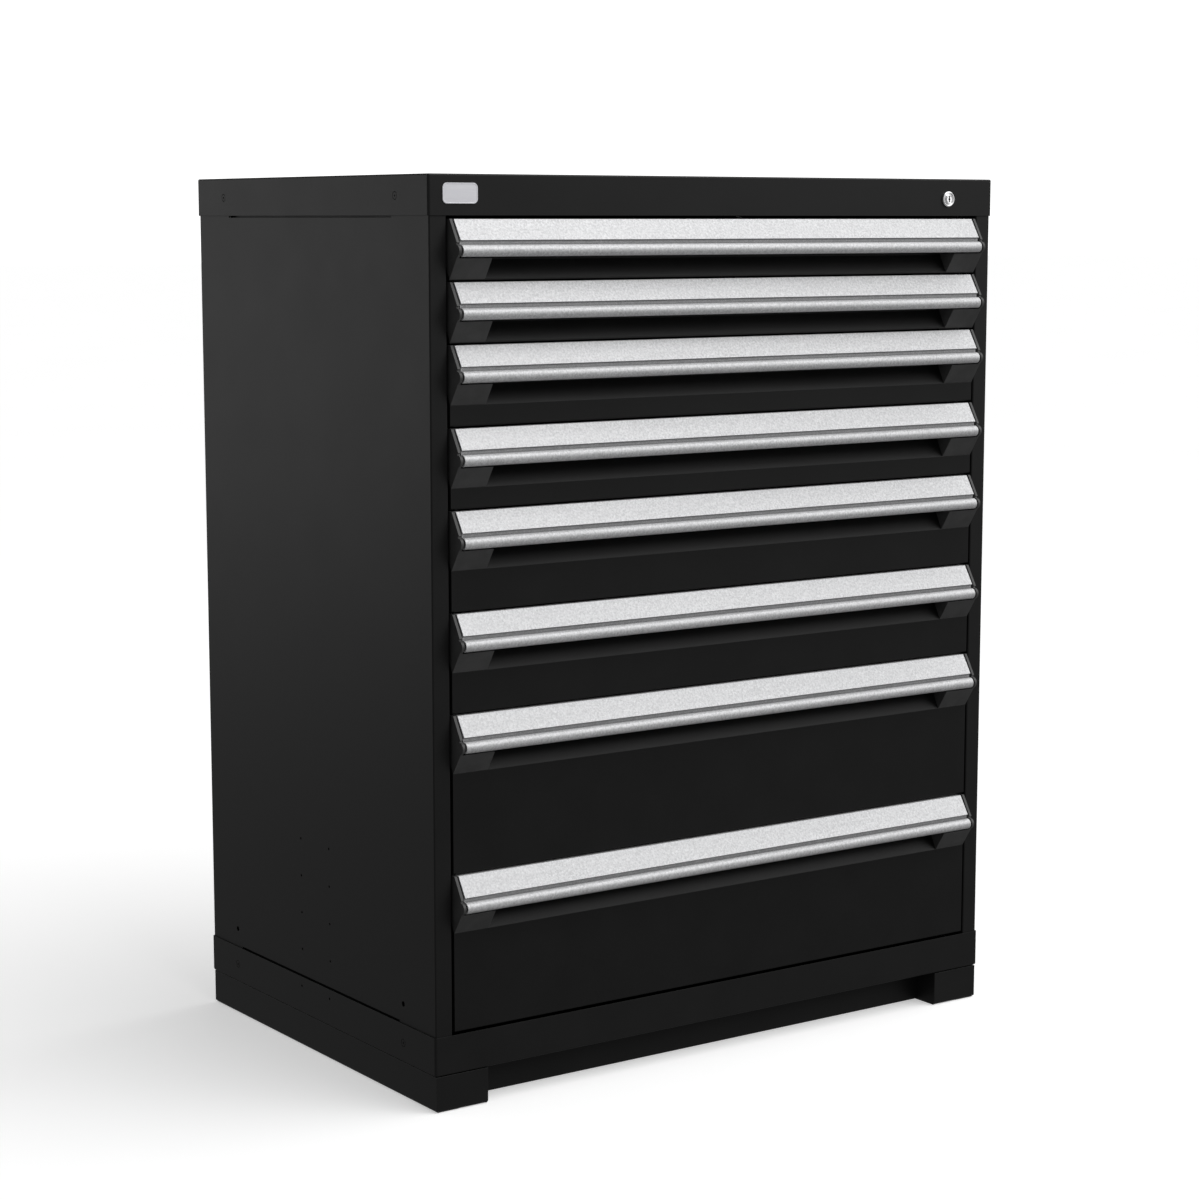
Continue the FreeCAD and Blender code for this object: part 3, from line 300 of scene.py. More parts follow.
def piece(name, mesh, material, body, nodes=(), bevel=0.0, smooth=35, segments=2):
    """Shows a mesh, rides it on its body and says which CAD nodes it stands for."""
    mesh.materials.clear()
    mesh.materials.append(material)
    mesh.shade_smooth()
    mesh.set_sharp_from_angle(angle=math.radians(smooth))
    obj = bpy.data.objects.new(name, mesh)
    bpy.context.scene.collection.objects.link(obj)
    if bevel:
        rounding = obj.modifiers.new("rounding", "BEVEL")
        rounding.width = bevel * MM
        rounding.segments = segments
        rounding.limit_method = "ANGLE"
        rounding.angle_limit = math.radians(smooth)
    weighted = obj.modifiers.new("weighted", "WEIGHTED_NORMAL")
    weighted.keep_sharp = True
    weighted.weight = 80
    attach(obj, body)
    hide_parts(*nodes)
    return obj


def moved(mesh, name, z):
    copy = mesh.copy()
    copy.name = name
    copy.transform(Matrix.Translation((0, 0, z * MM)))
    return copy


# ---------------------------------------------------------------- materials

FLOOR_GLOW = 0.44


class Shader:
    """A node material that is built up step by step on one Principled shader."""

    def __init__(self, name):
        self.material = bpy.data.materials.new(name)
        self.material.use_nodes = True
        self.nodes = self.material.node_tree.nodes
        self.links = self.material.node_tree.links
        self.bsdf = next(node for node in self.nodes if node.type == "BSDF_PRINCIPLED")
        self.place = self.nodes.new("ShaderNodeTexCoord").outputs["Object"]

    def put(self, socket, source):
        if isinstance(source, bpy.types.NodeSocket):
            self.links.new(source, socket)
        else:
            socket.default_value = source

    def noise(self, size, detail=3.0, roughness=0.55, stretch=(1, 1, 1)):
        """Noise whose grains have a size in millimetres."""
        mapping = self.nodes.new("ShaderNodeMapping")
        mapping.inputs["Scale"].default_value = [1 / part for part in stretch]
        self.links.new(self.place, mapping.inputs["Vector"])
        node = self.nodes.new("ShaderNodeTexNoise")
        self.links.new(mapping.outputs["Vector"], node.inputs["Vector"])
        node.inputs["Scale"].default_value = 1 / (size * MM)
        node.inputs["Detail"].default_value = detail
        node.inputs["Roughness"].default_value = roughness
        return node.outputs["Fac"]

    def cells(self, size):
        node = self.nodes.new("ShaderNodeTexVoronoi")
        self.links.new(self.place, node.inputs["Vector"])
        node.inputs["Scale"].default_value = 1 / (size * MM)
        return node.outputs["Color"]

    def span(self, source, low, high, start=0.3, stop=0.7):
        """Maps a pattern to a range of values."""
        node = self.nodes.new("ShaderNodeMapRange")
        for name, amount in (("From Min", start), ("From Max", stop), ("To Min", low), ("To Max", high)):
            node.inputs[name].default_value = amount
        self.links.new(source, node.inputs["Value"])
        return node.outputs["Result"]

    def math(self, kind, first, second):
        node = self.nodes.new("ShaderNodeMath")
        node.operation = kind
        self.put(node.inputs[0], first)
        self.put(node.inputs[1], second)
        return node.outputs[0]

    def mix(self, share, first, second):
        node = self.nodes.new("ShaderNodeMix")
        node.data_type = "RGBA"
        self.put(node.inputs["Factor"], share)
        for socket, colour in ((node.inputs[6], first), (node.inputs[7], second)):
            self.put(socket, colour if isinstance(colour, bpy.types.NodeSocket) else (*colour, 1))
        return node.outputs[2]

    def edges(self, radius, sharpness):
        """A mask that is 1 along edges and 0 on flat faces, used to paint highlights along edges."""
        bevel = self.nodes.new("ShaderNodeBevel")
        bevel.samples = 4
        bevel.inputs["Radius"].default_value = radius * MM
        plain = self.nodes.new("ShaderNodeNewGeometry")
        dot = self.nodes.new("ShaderNodeVectorMath")
        dot.operation = "DOT_PRODUCT"
        self.links.new(bevel.outputs["Normal"], dot.inputs[0])
        self.links.new(plain.outputs["Normal"], dot.inputs[1])
        return self.span(dot.outputs["Value"], 1, 0, start=1 - sharpness, stop=1)

    def open_air(self, reach):
        """A mask that is 1 in the open and falls in grooves and corners, used to paint shade there."""
        node = self.nodes.new("ShaderNodeAmbientOcclusion")
        node.samples = 6
        node.only_local = True
        node.inputs["Distance"].default_value = reach * MM
        return node.outputs["AO"]

    def bump(self, source, depth, strength=1.0, after=None):
        node = self.nodes.new("ShaderNodeBump")
        node.inputs["Distance"].default_value = depth * MM
        node.inputs["Strength"].default_value = strength
        self.links.new(source, node.inputs["Height"])
        if after is not None:
            self.links.new(after, node.inputs["Normal"])
        return node.outputs["Normal"]

    def use(self, colour=None, roughness=None, normal=None, metallic=0.0, specular=0.5):
        self.bsdf.inputs["Metallic"].default_value = metallic
        self.bsdf.inputs["Specular IOR Level"].default_value = specular
        for name, source in (("Base Color", colour), ("Roughness", roughness), ("Normal", normal)):
            if source is not None:
                self.put(self.bsdf.inputs[name], source)
        return self.material


def grey(level, tint=0.0):
    return (level, level, level * (1 + tint))


def powder_coat(name, level, rough, edge_highlight_share, specular):
    """Fine-textured black powder coat, with a painted highlight that makes it a little lighter along its
    edges.
    """
    shader = Shader(name)
    cloud = shader.noise(70, detail=4)
    grain = shader.noise(1.1, detail=2)
    colour = shader.mix(shader.span(cloud, 0, 1), grey(level * 0.88), grey(level * 1.12))
    colour = shader.mix(shader.span(grain, 0, 0.35, 0.45, 0.75), colour, grey(level * 1.7))
    if edge_highlight_share:
        # Painted highlight: the edges are lightened in patches, standing in for light caught on the bends.
        edge_highlight = shader.math("MULTIPLY", shader.edges(1.3, 0.12), shader.span(shader.noise(24), 0.35, 1.0))
        colour = shader.mix(shader.math("MULTIPLY", edge_highlight, edge_highlight_share), colour, grey(level * 3.2))
    roughness = shader.math("ADD", shader.span(cloud, rough - 0.012, rough + 0.012),
                            shader.span(grain, -0.03, 0.03))
    peel = shader.bump(shader.noise(5.5, detail=1), 0.05, 0.25)
    return shader.use(colour, roughness, shader.bump(grain, 0.05, 0.35, after=peel), specular=specular)


def aluminium():
    """Fine blasted and anodised aluminium with a faint run along the extrusion, a painted highlight along its
    edges and painted shade in its grooves.
    """
    shader = Shader("satin_blasted_aluminium")
    speckle = shader.noise(2.8, detail=3, roughness=0.75)
    run = shader.noise(6, detail=3, stretch=(60, 1, 1))
    cloud = shader.noise(45, detail=3)
    colour = shader.mix(shader.span(speckle, 0, 1, 0.36, 0.66), (0.51, 0.512, 0.52), (0.80, 0.803, 0.812))
    colour = shader.mix(shader.span(cloud, 0, 0.12), colour, (0.71, 0.71, 0.72))
    # Painted highlight: the edges are lightened.
    colour = shader.mix(shader.math("MULTIPLY", shader.edges(0.8, 0.1), 0.25), colour, (0.97, 0.97, 0.98))
    # Painted shade: grooves and corners are darkened through an occlusion mask.
    colour = shader.mix(shader.span(shader.open_air(6), 0, 1, 0.5, 0.85), (0.16, 0.16, 0.165), colour)
    roughness = shader.math("ADD", shader.span(speckle, 0.40, 0.50), shader.span(run, -0.04, 0.04))
    normal = shader.bump(speckle, 0.03, 0.30, after=shader.bump(run, 0.02, 0.2))
    return shader.use(colour, roughness, normal, metallic=0.25, specular=0.4)


def moulded_plastic():
    shader = Shader("moulded_black_plastic")
    grain = shader.noise(0.7, detail=2)
    cloud = shader.noise(18)
    colour = shader.mix(shader.span(cloud, 0, 1), grey(0.052), grey(0.068))
    # Painted highlight: the edges are lightened a little.
    edge_highlight = shader.math("MULTIPLY", shader.edges(0.5, 0.12), 0.25)
    colour = shader.mix(edge_highlight, colour, grey(0.11))
    return shader.use(colour, shader.span(grain, 0.46, 0.58), shader.bump(grain, 0.04, 0.4), specular=0.45)


def zinc():
    """Zinc-plated steel with pale crystals, drawn lines and a painted highlight along its edges."""
    shader = Shader("zinc_plated_steel")
    crystals = shader.cells(7)
    run = shader.noise(2.2, detail=4, stretch=(1, 80, 1))
    separate = shader.nodes.new("ShaderNodeSeparateColor")
    shader.links.new(crystals, separate.inputs["Color"])
    colour = shader.mix(separate.outputs[0], (0.56, 0.57, 0.59), (0.70, 0.71, 0.73))
    colour = shader.mix(shader.span(run, 0, 0.35), colour, (0.46, 0.47, 0.50))
    # Painted highlight: the edges are lightened.
    colour = shader.mix(shader.math("MULTIPLY", shader.edges(1.0, 0.12), 0.5), colour, (0.72, 0.73, 0.75))
    patches = shader.span(separate.outputs[1], -0.04, 0.04, 0, 1)
    roughness = shader.math("ADD", shader.span(run, 0.28, 0.42), patches)
    return shader.use(colour, roughness, shader.bump(run, 0.02, 0.25), metallic=0.8)


def chrome():
    shader = Shader("polished_chrome")
    smear = shader.noise(4, detail=4)
    scratches = shader.noise(0.5, detail=3, stretch=(9, 1, 1))
    colour = shader.mix(shader.span(smear, 0, 1), (0.78, 0.78, 0.79), (0.90, 0.90, 0.91))
    roughness = shader.math("ADD", shader.span(smear, 0.09, 0.17), shader.span(scratches, 0, 0.05))
    return shader.use(colour, roughness, shader.bump(scratches, 0.004, 0.2), metallic=1.0)


def black_oxide():
    shader = Shader("black_oxide_steel")
    grain = shader.noise(0.9, detail=3)
    colour = shader.mix(shader.span(grain, 0, 1), grey(0.007), grey(0.012))
    # Painted highlight: the edges are lightened.
    colour = shader.mix(shader.math("MULTIPLY", shader.edges(0.5, 0.15), 0.5), colour, grey(0.03))
    return shader.use(colour, shader.span(grain, 0.40, 0.52), shader.bump(grain, 0.02, 0.3), specular=0.25)


def badge_finish():
    shader = Shader("blank_silver_plate")
    run = shader.noise(0.5, detail=3, stretch=(40, 1, 1))
    cloud = shader.noise(14)
    colour = shader.mix(shader.span(run, 0, 1), (0.86, 0.86, 0.92), (0.93, 0.93, 0.97))
    colour = shader.mix(shader.span(cloud, 0, 0.2), colour, (0.96, 0.96, 0.98))
    return shader.use(colour, shader.span(run, 0.30, 0.42), shader.bump(run, 0.008, 0.3))


def studio_floor():
    shader = Shader("matt_white_floor")
    cloud = shader.noise(900, detail=3)
    fine = shader.noise(3, detail=2)
    colour = shader.mix(shader.span(cloud, 0, 1), grey(0.815), grey(0.835))
    shader.bsdf.inputs["Emission Color"].default_value = (1, 1, 1, 1)
    shader.bsdf.inputs["Emission Strength"].default_value = FLOOR_GLOW
    return shader.use(colour, shader.span(fine, 0.75, 0.85), shader.bump(fine, 0.05, 0.1), specular=0.1)


COAT = powder_coat("black_powder_coat_fine", 0.0085, 0.46, edge_highlight_share=0.5, specular=0.25)
# Painted shade: the drawers get a slightly darker, less glossy copy of the housing's coat.
COAT_SHADED_FRONT = powder_coat("black_powder_coat_drawer_shaded", 0.008, 0.46, edge_highlight_share=0.5, specular=0.22)
ALUMINIUM = aluminium()
PLASTIC = moulded_plastic()
ZINC = zinc()
CHROME = chrome()
OXIDE = black_oxide()
BADGE = badge_finish()


# ---------------------------------------------------------------- housing

def cover_rings(rim, flat):
    """A folded pan whose skirt ends at the rim. Its flat skin lies at the other level."""
    away = 1 if flat > rim else -1
    edge, nick, inner = 0.35, 0.1, 0.4
    bend = [(ROUND * (1 - math.sin(a)), flat - away * ROUND * (1 - math.cos(a)))
            for a in (math.radians(90 * step / 5) for step in range(6))]
    steps = bend + [(0, rim + away * edge), (nick, rim + away * nick), (edge, rim)]
    steps += [(SHEET - edge, rim), (SHEET - nick, rim + away * nick), (SHEET, rim + away * edge)]
    steps += [(SHEET, flat - away * (SHEET + inner)), (SHEET + inner, flat - away * SHEET)]
    rings = []
    for inset, level in steps:
        outline = rounded_rectangle(COVER_X, COVER_Y, inset, ROUND + 1.0)
        rings.append([lift(point, "z", level) for point in outline])
    return rings


def rods(axis, spots, low, high, radius, steps=28):
    """Cylindrical cutters in one mesh."""
    def make(bm):
        for spot in spots:
            lathe(bm, [(low, radius), (high, radius)], axis, spot, steps)
    return built("rods", make)


def through_sides(ys, zs, radius, steps=28):
    half = COVER_X[1] + PAST
    return rods("x", [(y, z) for y in ys for z in zs], -half, half, radius, steps)


def build_covers():
    top = built("top_cover_blank", lambda bm: skin_rings(bm, cover_rings(TOP_Z[0], TOP_Z[1])))
    top = combined("top_cover_pan", top, [
        through_sides(SCREW_Y, SCREW_Z[:1], SCREW_HOLE),
        rods("y", [LOCK], FRONT - PAST, FRONT + PAST, LOCK_HOLE, 40),
    ])
    piece("top_cover_pan", top, COAT, "cabinet", ["top_cover"])

    low = built("bottom_cover_blank", lambda bm: skin_rings(bm, cover_rings(LOW_Z[1], LOW_Z[0])))
    anchors = [(sign * ANCHOR_X, y) for _, sign in SIDES for y in ANCHOR_Y]
    low = combined("bottom_cover_pan", low, [
        through_sides(SCREW_Y, SCREW_Z[1:], SCREW_HOLE),
        through_sides(PILOT_Y, PILOT_Z[:1], PILOT_HOLE, 16),
        rods("z", anchors, LOW_Z[0] - PAST, LOW_Z[0] + PAST, ANCHOR_HOLE, 40),
    ])
    piece("bottom_cover_pan", low, COAT, "cabinet", ["bottom_cover"])


def build_side_panels():
    path = [(POST, FRONT + POST_DEPTH), (POST, FACE), (WALL, FACE), (WALL, PANEL_Y[1]),
            (WALL - BACK_FLANGE, PANEL_Y[1])]
    sheet = folded(path, SHEET, BEND, steps=5)
    root = WALL - SHEET / 2
    near = WALL - 2 * SHEET - HEM_GAP
    high_hem = [(root, PANEL_Z[1]), (near, PANEL_Z[1]), (near, TOP_Z[0] - HEM_REACH)]
    low_hem = [(near, LOW_Z[1] + HEM_REACH), (near, PANEL_Z[0]), (root, PANEL_Z[0])]
    for side, sign in SIDES:
        def make(bm):
            folded_prism(bm, sheet, "z", *PANEL_Z)
            if sign < 0:
                bmesh.ops.scale(bm, vec=(-1, 1, 1), verts=bm.verts)

        def hems(bm):
            for hem in (high_hem, low_hem):
                folded_prism(bm, folded(hem, SHEET, BEND), "y", VENT_Y[0] - HEM_PAST, VENT_Y[1] + HEM_PAST)
            if sign < 0:
                bmesh.ops.scale(bm, vec=(-1, 1, 1), verts=bm.verts)

        def vents(bm):
            x = sorted((sign * (WALL - 2 * SHEET), sign * (WALL + PAST)))
            block(bm, x, VENT_Y, (TOP_Z[0] - VENT_SHOW, TOP_Z[0] + VENT_HIDDEN))
            block(bm, x, VENT_Y, (LOW_Z[1] - VENT_HIDDEN, LOW_Z[1] + VENT_SHOW))

        name = f"side_wall_{side}"
        back_spots = [(sign * BACK_SCREW_X, z) for z in BACK_SCREW_Z]
        mesh = combined(name, built(name, make), [built("hems", hems)], "UNION")
        mesh = combined(name, mesh, [
            through_sides(GANG_Y, [GANG_Z], GANG_HOLE, 24),
            through_sides(PILOT_Y, PILOT_Z[1:], PILOT_HOLE, 16),
            through_sides(SCREW_Y, SCREW_Z, THREAD_HOLE, 16),
            rods("y", back_spots, PANEL_Y[1] - PAST, PANEL_Y[1] + PAST, SCREW_HOLE),
            built("vents", vents),
        ])
        piece(name, mesh, COAT, "cabinet", [f"side_panel_{side}"], bevel=0.2)


def build_back_panel():
    rings = []
    near, far = BACK_Y
    edge, corner = 0.3, 2.0
    for inset, y in ((edge, near), (0, near + edge), (0, far - edge), (edge, far)):
        outline = rounded_rectangle(BACK_X, PANEL_Z, inset, corner)
        rings.append([lift(point, "y", y) for point in outline])
    spots = [(sign * BACK_SCREW_X, z) for _, sign in SIDES for z in BACK_SCREW_Z]
    mesh = combined("back_sheet", built("back_sheet", lambda bm: skin_rings(bm, rings)),
                    [rods("y", spots, near - PAST, far + PAST, THREAD_HOLE, 16)])
    piece("back_sheet", mesh, COAT, "cabinet", ["back_panel"])


def screw_mesh():
    """A flush hexagon-socket screw along +x, its head's face at x 0."""
    tip, under = -9.0, -1.5
    key, deep = 1.6, 0.75

    def blank(bm):
        shank = [(tip, SCREW_SHANK - 0.4), (tip + 0.4, SCREW_SHANK), (under, SCREW_SHANK)]
        head = [(under, SCREW_HEAD - 0.6), (under + 0.4, SCREW_HEAD), (-0.35, SCREW_HEAD)]
        crown = [(-0.1, SCREW_HEAD - 0.12), (0, SCREW_HEAD - 0.45), (0, 3.0)]
        lathe(bm, shank + head + crown, "x", (0, 0), 36)

    def socket(bm):
        lathe(bm, [(-deep, key), (1, key)], "x", (0, 0), 6)

    return combined("screw", built("screw", blank), [built("socket", socket)])


def build_screws():
    """Eight screws hold the covers and ten hold the back panel."""
    base = screw_mesh()
    bm = bmesh.new()
    for _, sign in SIDES:
        mirror = Matrix.Diagonal((sign, 1, 1, 1))
        for y in SCREW_Y:
            for z in SCREW_Z:
                spot = Matrix.Translation(Vector((COVER_X[1], y, z)) * MM)
                add_copy(bm, base, mirror @ spot)
        for z in BACK_SCREW_Z:
            spot = Matrix.Translation(Vector((BACK_SCREW_X, PANEL_Y[1], z)) * MM)
            add_copy(bm, base, mirror @ spot @ Matrix.Rotation(math.radians(90), 4, "Z"))
    screws = mesh_of("socket_screws", bm)
    piece("socket_screws", screws, OXIDE, "cabinet", ["panel_screws"], smooth=30)


def add_copy(bm, mesh, matrix):
    copy = mesh.copy()
    copy.transform(matrix)
    bm.from_mesh(copy)
    bpy.data.meshes.remove(copy)


# ---------------------------------------------------------------- drawers

def front_path(row, top):
    """The outer face of a drawer's front, from its top edge down and back under."""
    low = row + FRONT_UP
    return [(RECESS, top - SKIN), (RECESS, top - RECESS_HIGH), (FACE, top - RECESS_LOW), (FACE, low),
            (FACE + FLANGE, low)]


def drawer_front(row, top):
    """The folded front with its finger recess, its ends turned back, and the lock's catch."""
    half = FRONT_HALF
    face, back = folded(front_path(row, top), SKIN, 0.7)
    outline = face + [Vector((FACE + FLANGE, top - SKIN))]
    beyond, above = FACE + FLANGE + PAST, top + PAST
    pocket = [Vector((back[0].x, above))] + back[1:-1]
    pocket += [Vector((beyond, back[-1].y)), Vector((beyond, above))]
    front = combined("front", built("front", lambda bm: prism(bm, outline, "x", -half, half)),
                     [built("pocket", lambda bm: prism(bm, pocket, "x", SKIN - half, half - SKIN))])
    low, high = row + CATCH_Z[0], row + CATCH_Z[1]
    near = (FACE if high < top - RECESS_LOW else RECESS) + SKIN / 2
    root, tip, under = FACE + FLANGE + 2, CATCH_REAR - CATCH_TIP, high - CATCH_HOOK
    hook = [(near, low), (root, low), (root, under), (tip, under), (tip, low)]
    hook += [(CATCH_REAR, low), (CATCH_REAR, high), (near, high)]
    catch = built("catch", lambda bm: prism(bm, hook, "x", *CATCH_X))
    return combined("front", front, [catch], "UNION")


def drawer_box(row, top, side_top):
    """Floor and side walls folded from one sheet, and a rear wall, all slotted for dividers."""
    half, rear = TRAY_HALF, TRAY_REAR
    under, floor = side_top - SKIN, row + FLOOR_UP
    trough = [(-half - HEM, under), (-half, under), (-half, floor)]
    trough += [(-x, z) for x, z in reversed(trough)]
    slots_z = (row + (side_top - row) / 5, side_top - 2 * HEM)
    low, high, clear = row - PAST, top + PAST, FACE - 30
    bends = [(RECESS + SKIN, top - RECESS_HIGH), (FACE + SKIN, top - RECESS_LOW), (FACE + SKIN, low)]
    ahead = [(RECESS + SKIN, high)] + bends + [(clear, low), (clear, high)]

    def slots(bm):
        for number in range(SLOT_COUNT):
            y = FACE + SLOT_START + SLOT_PITCH * number
            block(bm, (-half - PAST, half + PAST), (y, y + SLOT_WIDTH), slots_z)

    def rear_slots(bm):
        for number in range(REAR_SLOTS):
            x = (number - REAR_SLOTS // 2) * SLOT_PITCH
            block(bm, (x - SLOT_WIDTH / 2, x + SLOT_WIDTH / 2), (rear - PAST, rear + PAST), slots_z)

    sheet = folded(trough, SKIN, FOLD)
    blank = built("box", lambda bm: folded_prism(bm, sheet, "y", FACE + SKIN, rear - SKIN))
    space = built("ahead", lambda bm: prism(bm, ahead, "x", -WALL, WALL))
    body = combined("box", blank, [space, built("slots", slots)])
    wall = folded([(rear, floor + SKIN), (rear, under), (rear + HEM, under)], SKIN, FOLD)
    end = combined("end", built("end", lambda bm: folded_prism(bm, wall, "x", SKIN - half, half - SKIN)),
                   [built("rear_slots", rear_slots)])
    bm = bmesh.new()
    bm.from_mesh(body)
    bm.from_mesh(end)
    return mesh_of("box", bm)


def handle_outline():
    """The extrusion's section from its top and the front: a slope, a groove and a rolled bead."""
    bead, radius = (-14.8, -38.1), 7.3
    slope = [(0.4, 0), (-15.3, -25.2)]
    groove = (-12.6, -26.55)
    neck, leg = -11.07, -37.7
    back = RECESS - FRONT
    inside = back - HANDLE_SKIN
    outline = [(back, 0)] + slope + [groove] + arc(bead, radius, 72.5, 270, 20)
    outline += arc(bead, radius - HANDLE_SKIN, 270, 90, 16)
    outline += [(neck, -30.3), (neck, -22.2), (1.5, -HANDLE_SKIN), (inside, -HANDLE_SKIN)]
    outline += [(inside, leg), (back, leg)]
    return [Vector(point) + Vector((FRONT, 0)) for point in outline]


def handle_mesh():
    outline = soften(handle_outline(), 0.45)
    rings = []
    for x in HANDLE_X:
        rings.append([lift(point, "x", x) for point in outline])
    return built("handle", lambda bm: skin_rings(bm, rings))


def cap_outlines():
    """An end cap's side plate, its wedge and its plug, from the handle's top and the front."""
    back = RECESS - FRONT
    nose, radius = (-14.5, -38.2), 7.5
    under, proud, loose = -47.0, 0.3, HANDLE_SKIN + 0.6
    step = -28.2
    wedge = [(-15.5, under), (FACE - FRONT, -RECESS_LOW), (back, -RECESS_HIGH)]
    plate = [(back, proud), (proud, proud), (-16.4, step), (-13.7, step)]
    plate += arc(nose, radius, 92.3, 251.6, 18) + wedge
    bracket = wedge + [(back, under)]
    plug = [(back - loose, -loose), (loose, -loose), (-10.7, -23.2), (-10.7, -30.8), (-16.8, -36.1)]
    plug += [(-16.8, -40.1), (-13.8, -43.1), (-7.5, -40.1), (back - loose, -12.7)]
    shift = Vector((FRONT, 0))
    return [[Vector(point) + shift for point in outline] for outline in (plate, bracket, plug)]


def end_caps_mesh():
    """Moulded ends: a side plate with a rounded nose, a wedge under the handle and a plug inside it."""
    plate, bracket, plug = cap_outlines()
    right = CAPS_X[1]
    root = right - CAP_STEP
    parts = []
    layers = ((plate, right - CAP_SIDE, right, 0.6), (bracket, right - CAP_LONG, root, 0.5),
              (plug, right - PLUG_IN, root, 0.4))
    for outline, low, high, radius in layers:
        shape = soften(outline, radius)
        parts.append(built("cap", lambda bm: prism(bm, shape, "x", low, high)))
    cap = combined("cap", parts[0], parts[1:], "UNION")
    bm = bmesh.new()
    bm.from_mesh(cap)
    add_copy(bm, cap, Matrix.Diagonal((-1, 1, 1, 1)))
    return mesh_of("end_caps", bm)


def build_drawers():
    handle, caps = handle_mesh(), end_caps_mesh()
    shapes = {}
    for number in range(1, COUNT + 1):
        name = body = f"drawer_{number}"
        row = span(f"{name}_tray")[2][0] - FRONT_UP
        top = span(f"{name}_handle")[2][1]
        tall = round(top + ROW_GAP - row, 1)
        if tall not in shapes:
            shapes[tall] = (row, drawer_front(row, top), drawer_box(row, top, row + tall - TRAY_SUNK))
        first, front, box = shapes[tall]
        tray = [f"{name}_tray"]
        for part, mesh in (("front", front), ("box", box)):
            copy = moved(mesh, f"{name}_{part}", row - first)
            piece(f"{name}_{part}", copy, COAT_SHADED_FRONT, body, tray)
        pull = moved(handle, f"{name}_pull", top)
        piece(f"{name}_pull", pull, ALUMINIUM, body, [f"{name}_handle"], smooth=24)
        ends = moved(caps, f"{name}_pull_ends", top)
        piece(f"{name}_pull_ends", ends, PLASTIC, body, [f"{name}_end_caps"], 0.35, 32)


# ---------------------------------------------------------------- lock and badge

def ring_at(y, radius, steps):
    """A ring about the lock's axis."""
    return [lift(point, "y", y) for point in arc(LOCK, radius, 0, 360, steps)[:-1]]


def build_lock_cylinder():
    """The fixed barrel with its rolled face, and its hexagon nut behind the cover."""
    out, bore = BARREL_Y[0], 6.15
    outer, root = 10.6, 9.4

    def barrel(bm):
        flange = [(FRONT, outer), (out + 1.2, outer), (out + 0.5, 10.35), (out + 0.12, 9.8), (out, 9.1)]
        groove = [(out + 0.1, 8.5), (out + 0.6, 8.1), (out + 0.7, 7.7), (out + 0.3, 7.2)]
        mouth = [(out + 0.25, 6.7), (out + 0.5, bore), (BARREL_Y[1], bore), (BARREL_Y[1], root)]
        profile = flange + groove + mouth + [(FRONT + 1, root), (FRONT + 0.01, root)]
        rings = [ring_at(y, radius, 64) for y, radius in profile]
        skin_rings(bm, rings + rings[:1], closed=False)
        bmesh.ops.remove_doubles(bm, verts=bm.verts, dist=1e-7)

    def nut(bm):
        levels = ((0, 12.9), (0.5, 13.4), (4.5, 13.4), (5.0, 12.9))
        skin_rings(bm, [ring_at(FRONT + SHEET + y, radius, 6) for y, radius in levels])

    hole = rods("y", [LOCK], FRONT - PAST, FRONT + 20, LOCK_HOLE, 48)
    nut_mesh = combined("nut", built("nut", nut), [hole])
    bm = bmesh.new()
    barrel(bm)
    bm.from_mesh(nut_mesh)
    cylinder = mesh_of("lock_cylinder", bm)
    piece("lock_cylinder", cylinder, CHROME, "cabinet", ["lock_barrel"], smooth=40)


def build_lock_plug():
    """The turning core with its keyway, its cam and the cam's pin."""
    out, tail = CORE_Y[0], CAM_Y[0]
    key_deep, key_half, key_wide = FRONT + 12, 4.4, 1.7

    def plug(bm):
        rim = [(out + 0.35, 4.2), (out + 0.12, 4.7), (out, 5.2), (out + 0.1, 5.6), (out + 0.45, 5.9)]
        lathe(bm, rim + [(out + 0.8, PLUG), (tail, PLUG)], "y", LOCK, 64)

    def keyway(bm):
        half = [(1.0, -key_half), (1.0, -1.5), (key_wide, -0.6), (key_wide, 0.6), (1.0, 1.5), (1.0, key_half)]
        outline = half + [(-x, -z) for x, z in half]
        prism(bm, [(LOCK[0] + x, LOCK[1] + z) for x, z in outline], "y", out - PAST, key_deep)

    def cam(bm):
        corners = [(3, -3), (-3, 3), (-8.5, -2.5), (-2.5, -8.5)]
        prism(bm, soften([(LOCK[0] + a, LOCK[1] + b) for a, b in corners], 1.2), "y", tail - 1, CAM_Y[1])

    def pin(bm):
        centre = (LOCK[0] - CAM_PIN, LOCK[1] - CAM_PIN)
        lathe(bm, [(tail, 2.0), (CORE_Y[1] - 0.4, 2.0), (CORE_Y[1], 1.6)], "y", centre, 32)

    core = combined("core", built("core", plug), [built("keyway", keyway)])
    core = combined("core", core, [built("cam", cam), built("pin", pin)], "UNION")
    obj = piece("lock_plug", core, CHROME, "lock_core", ["lock_core"], smooth=40)

    # The inside of the keyway gets the black oxide finish, as painted shade in the slot.
    obj.data.materials.append(OXIDE)
    for face in obj.data.polygons:
        x, y, z = face.center / MM
        inside = abs(x - LOCK[0]) < key_wide + 0.1 and abs(z - LOCK[1]) < key_half + 0.1
        if inside and out + 0.6 < y < key_deep + 1:
            face.material_index = 1


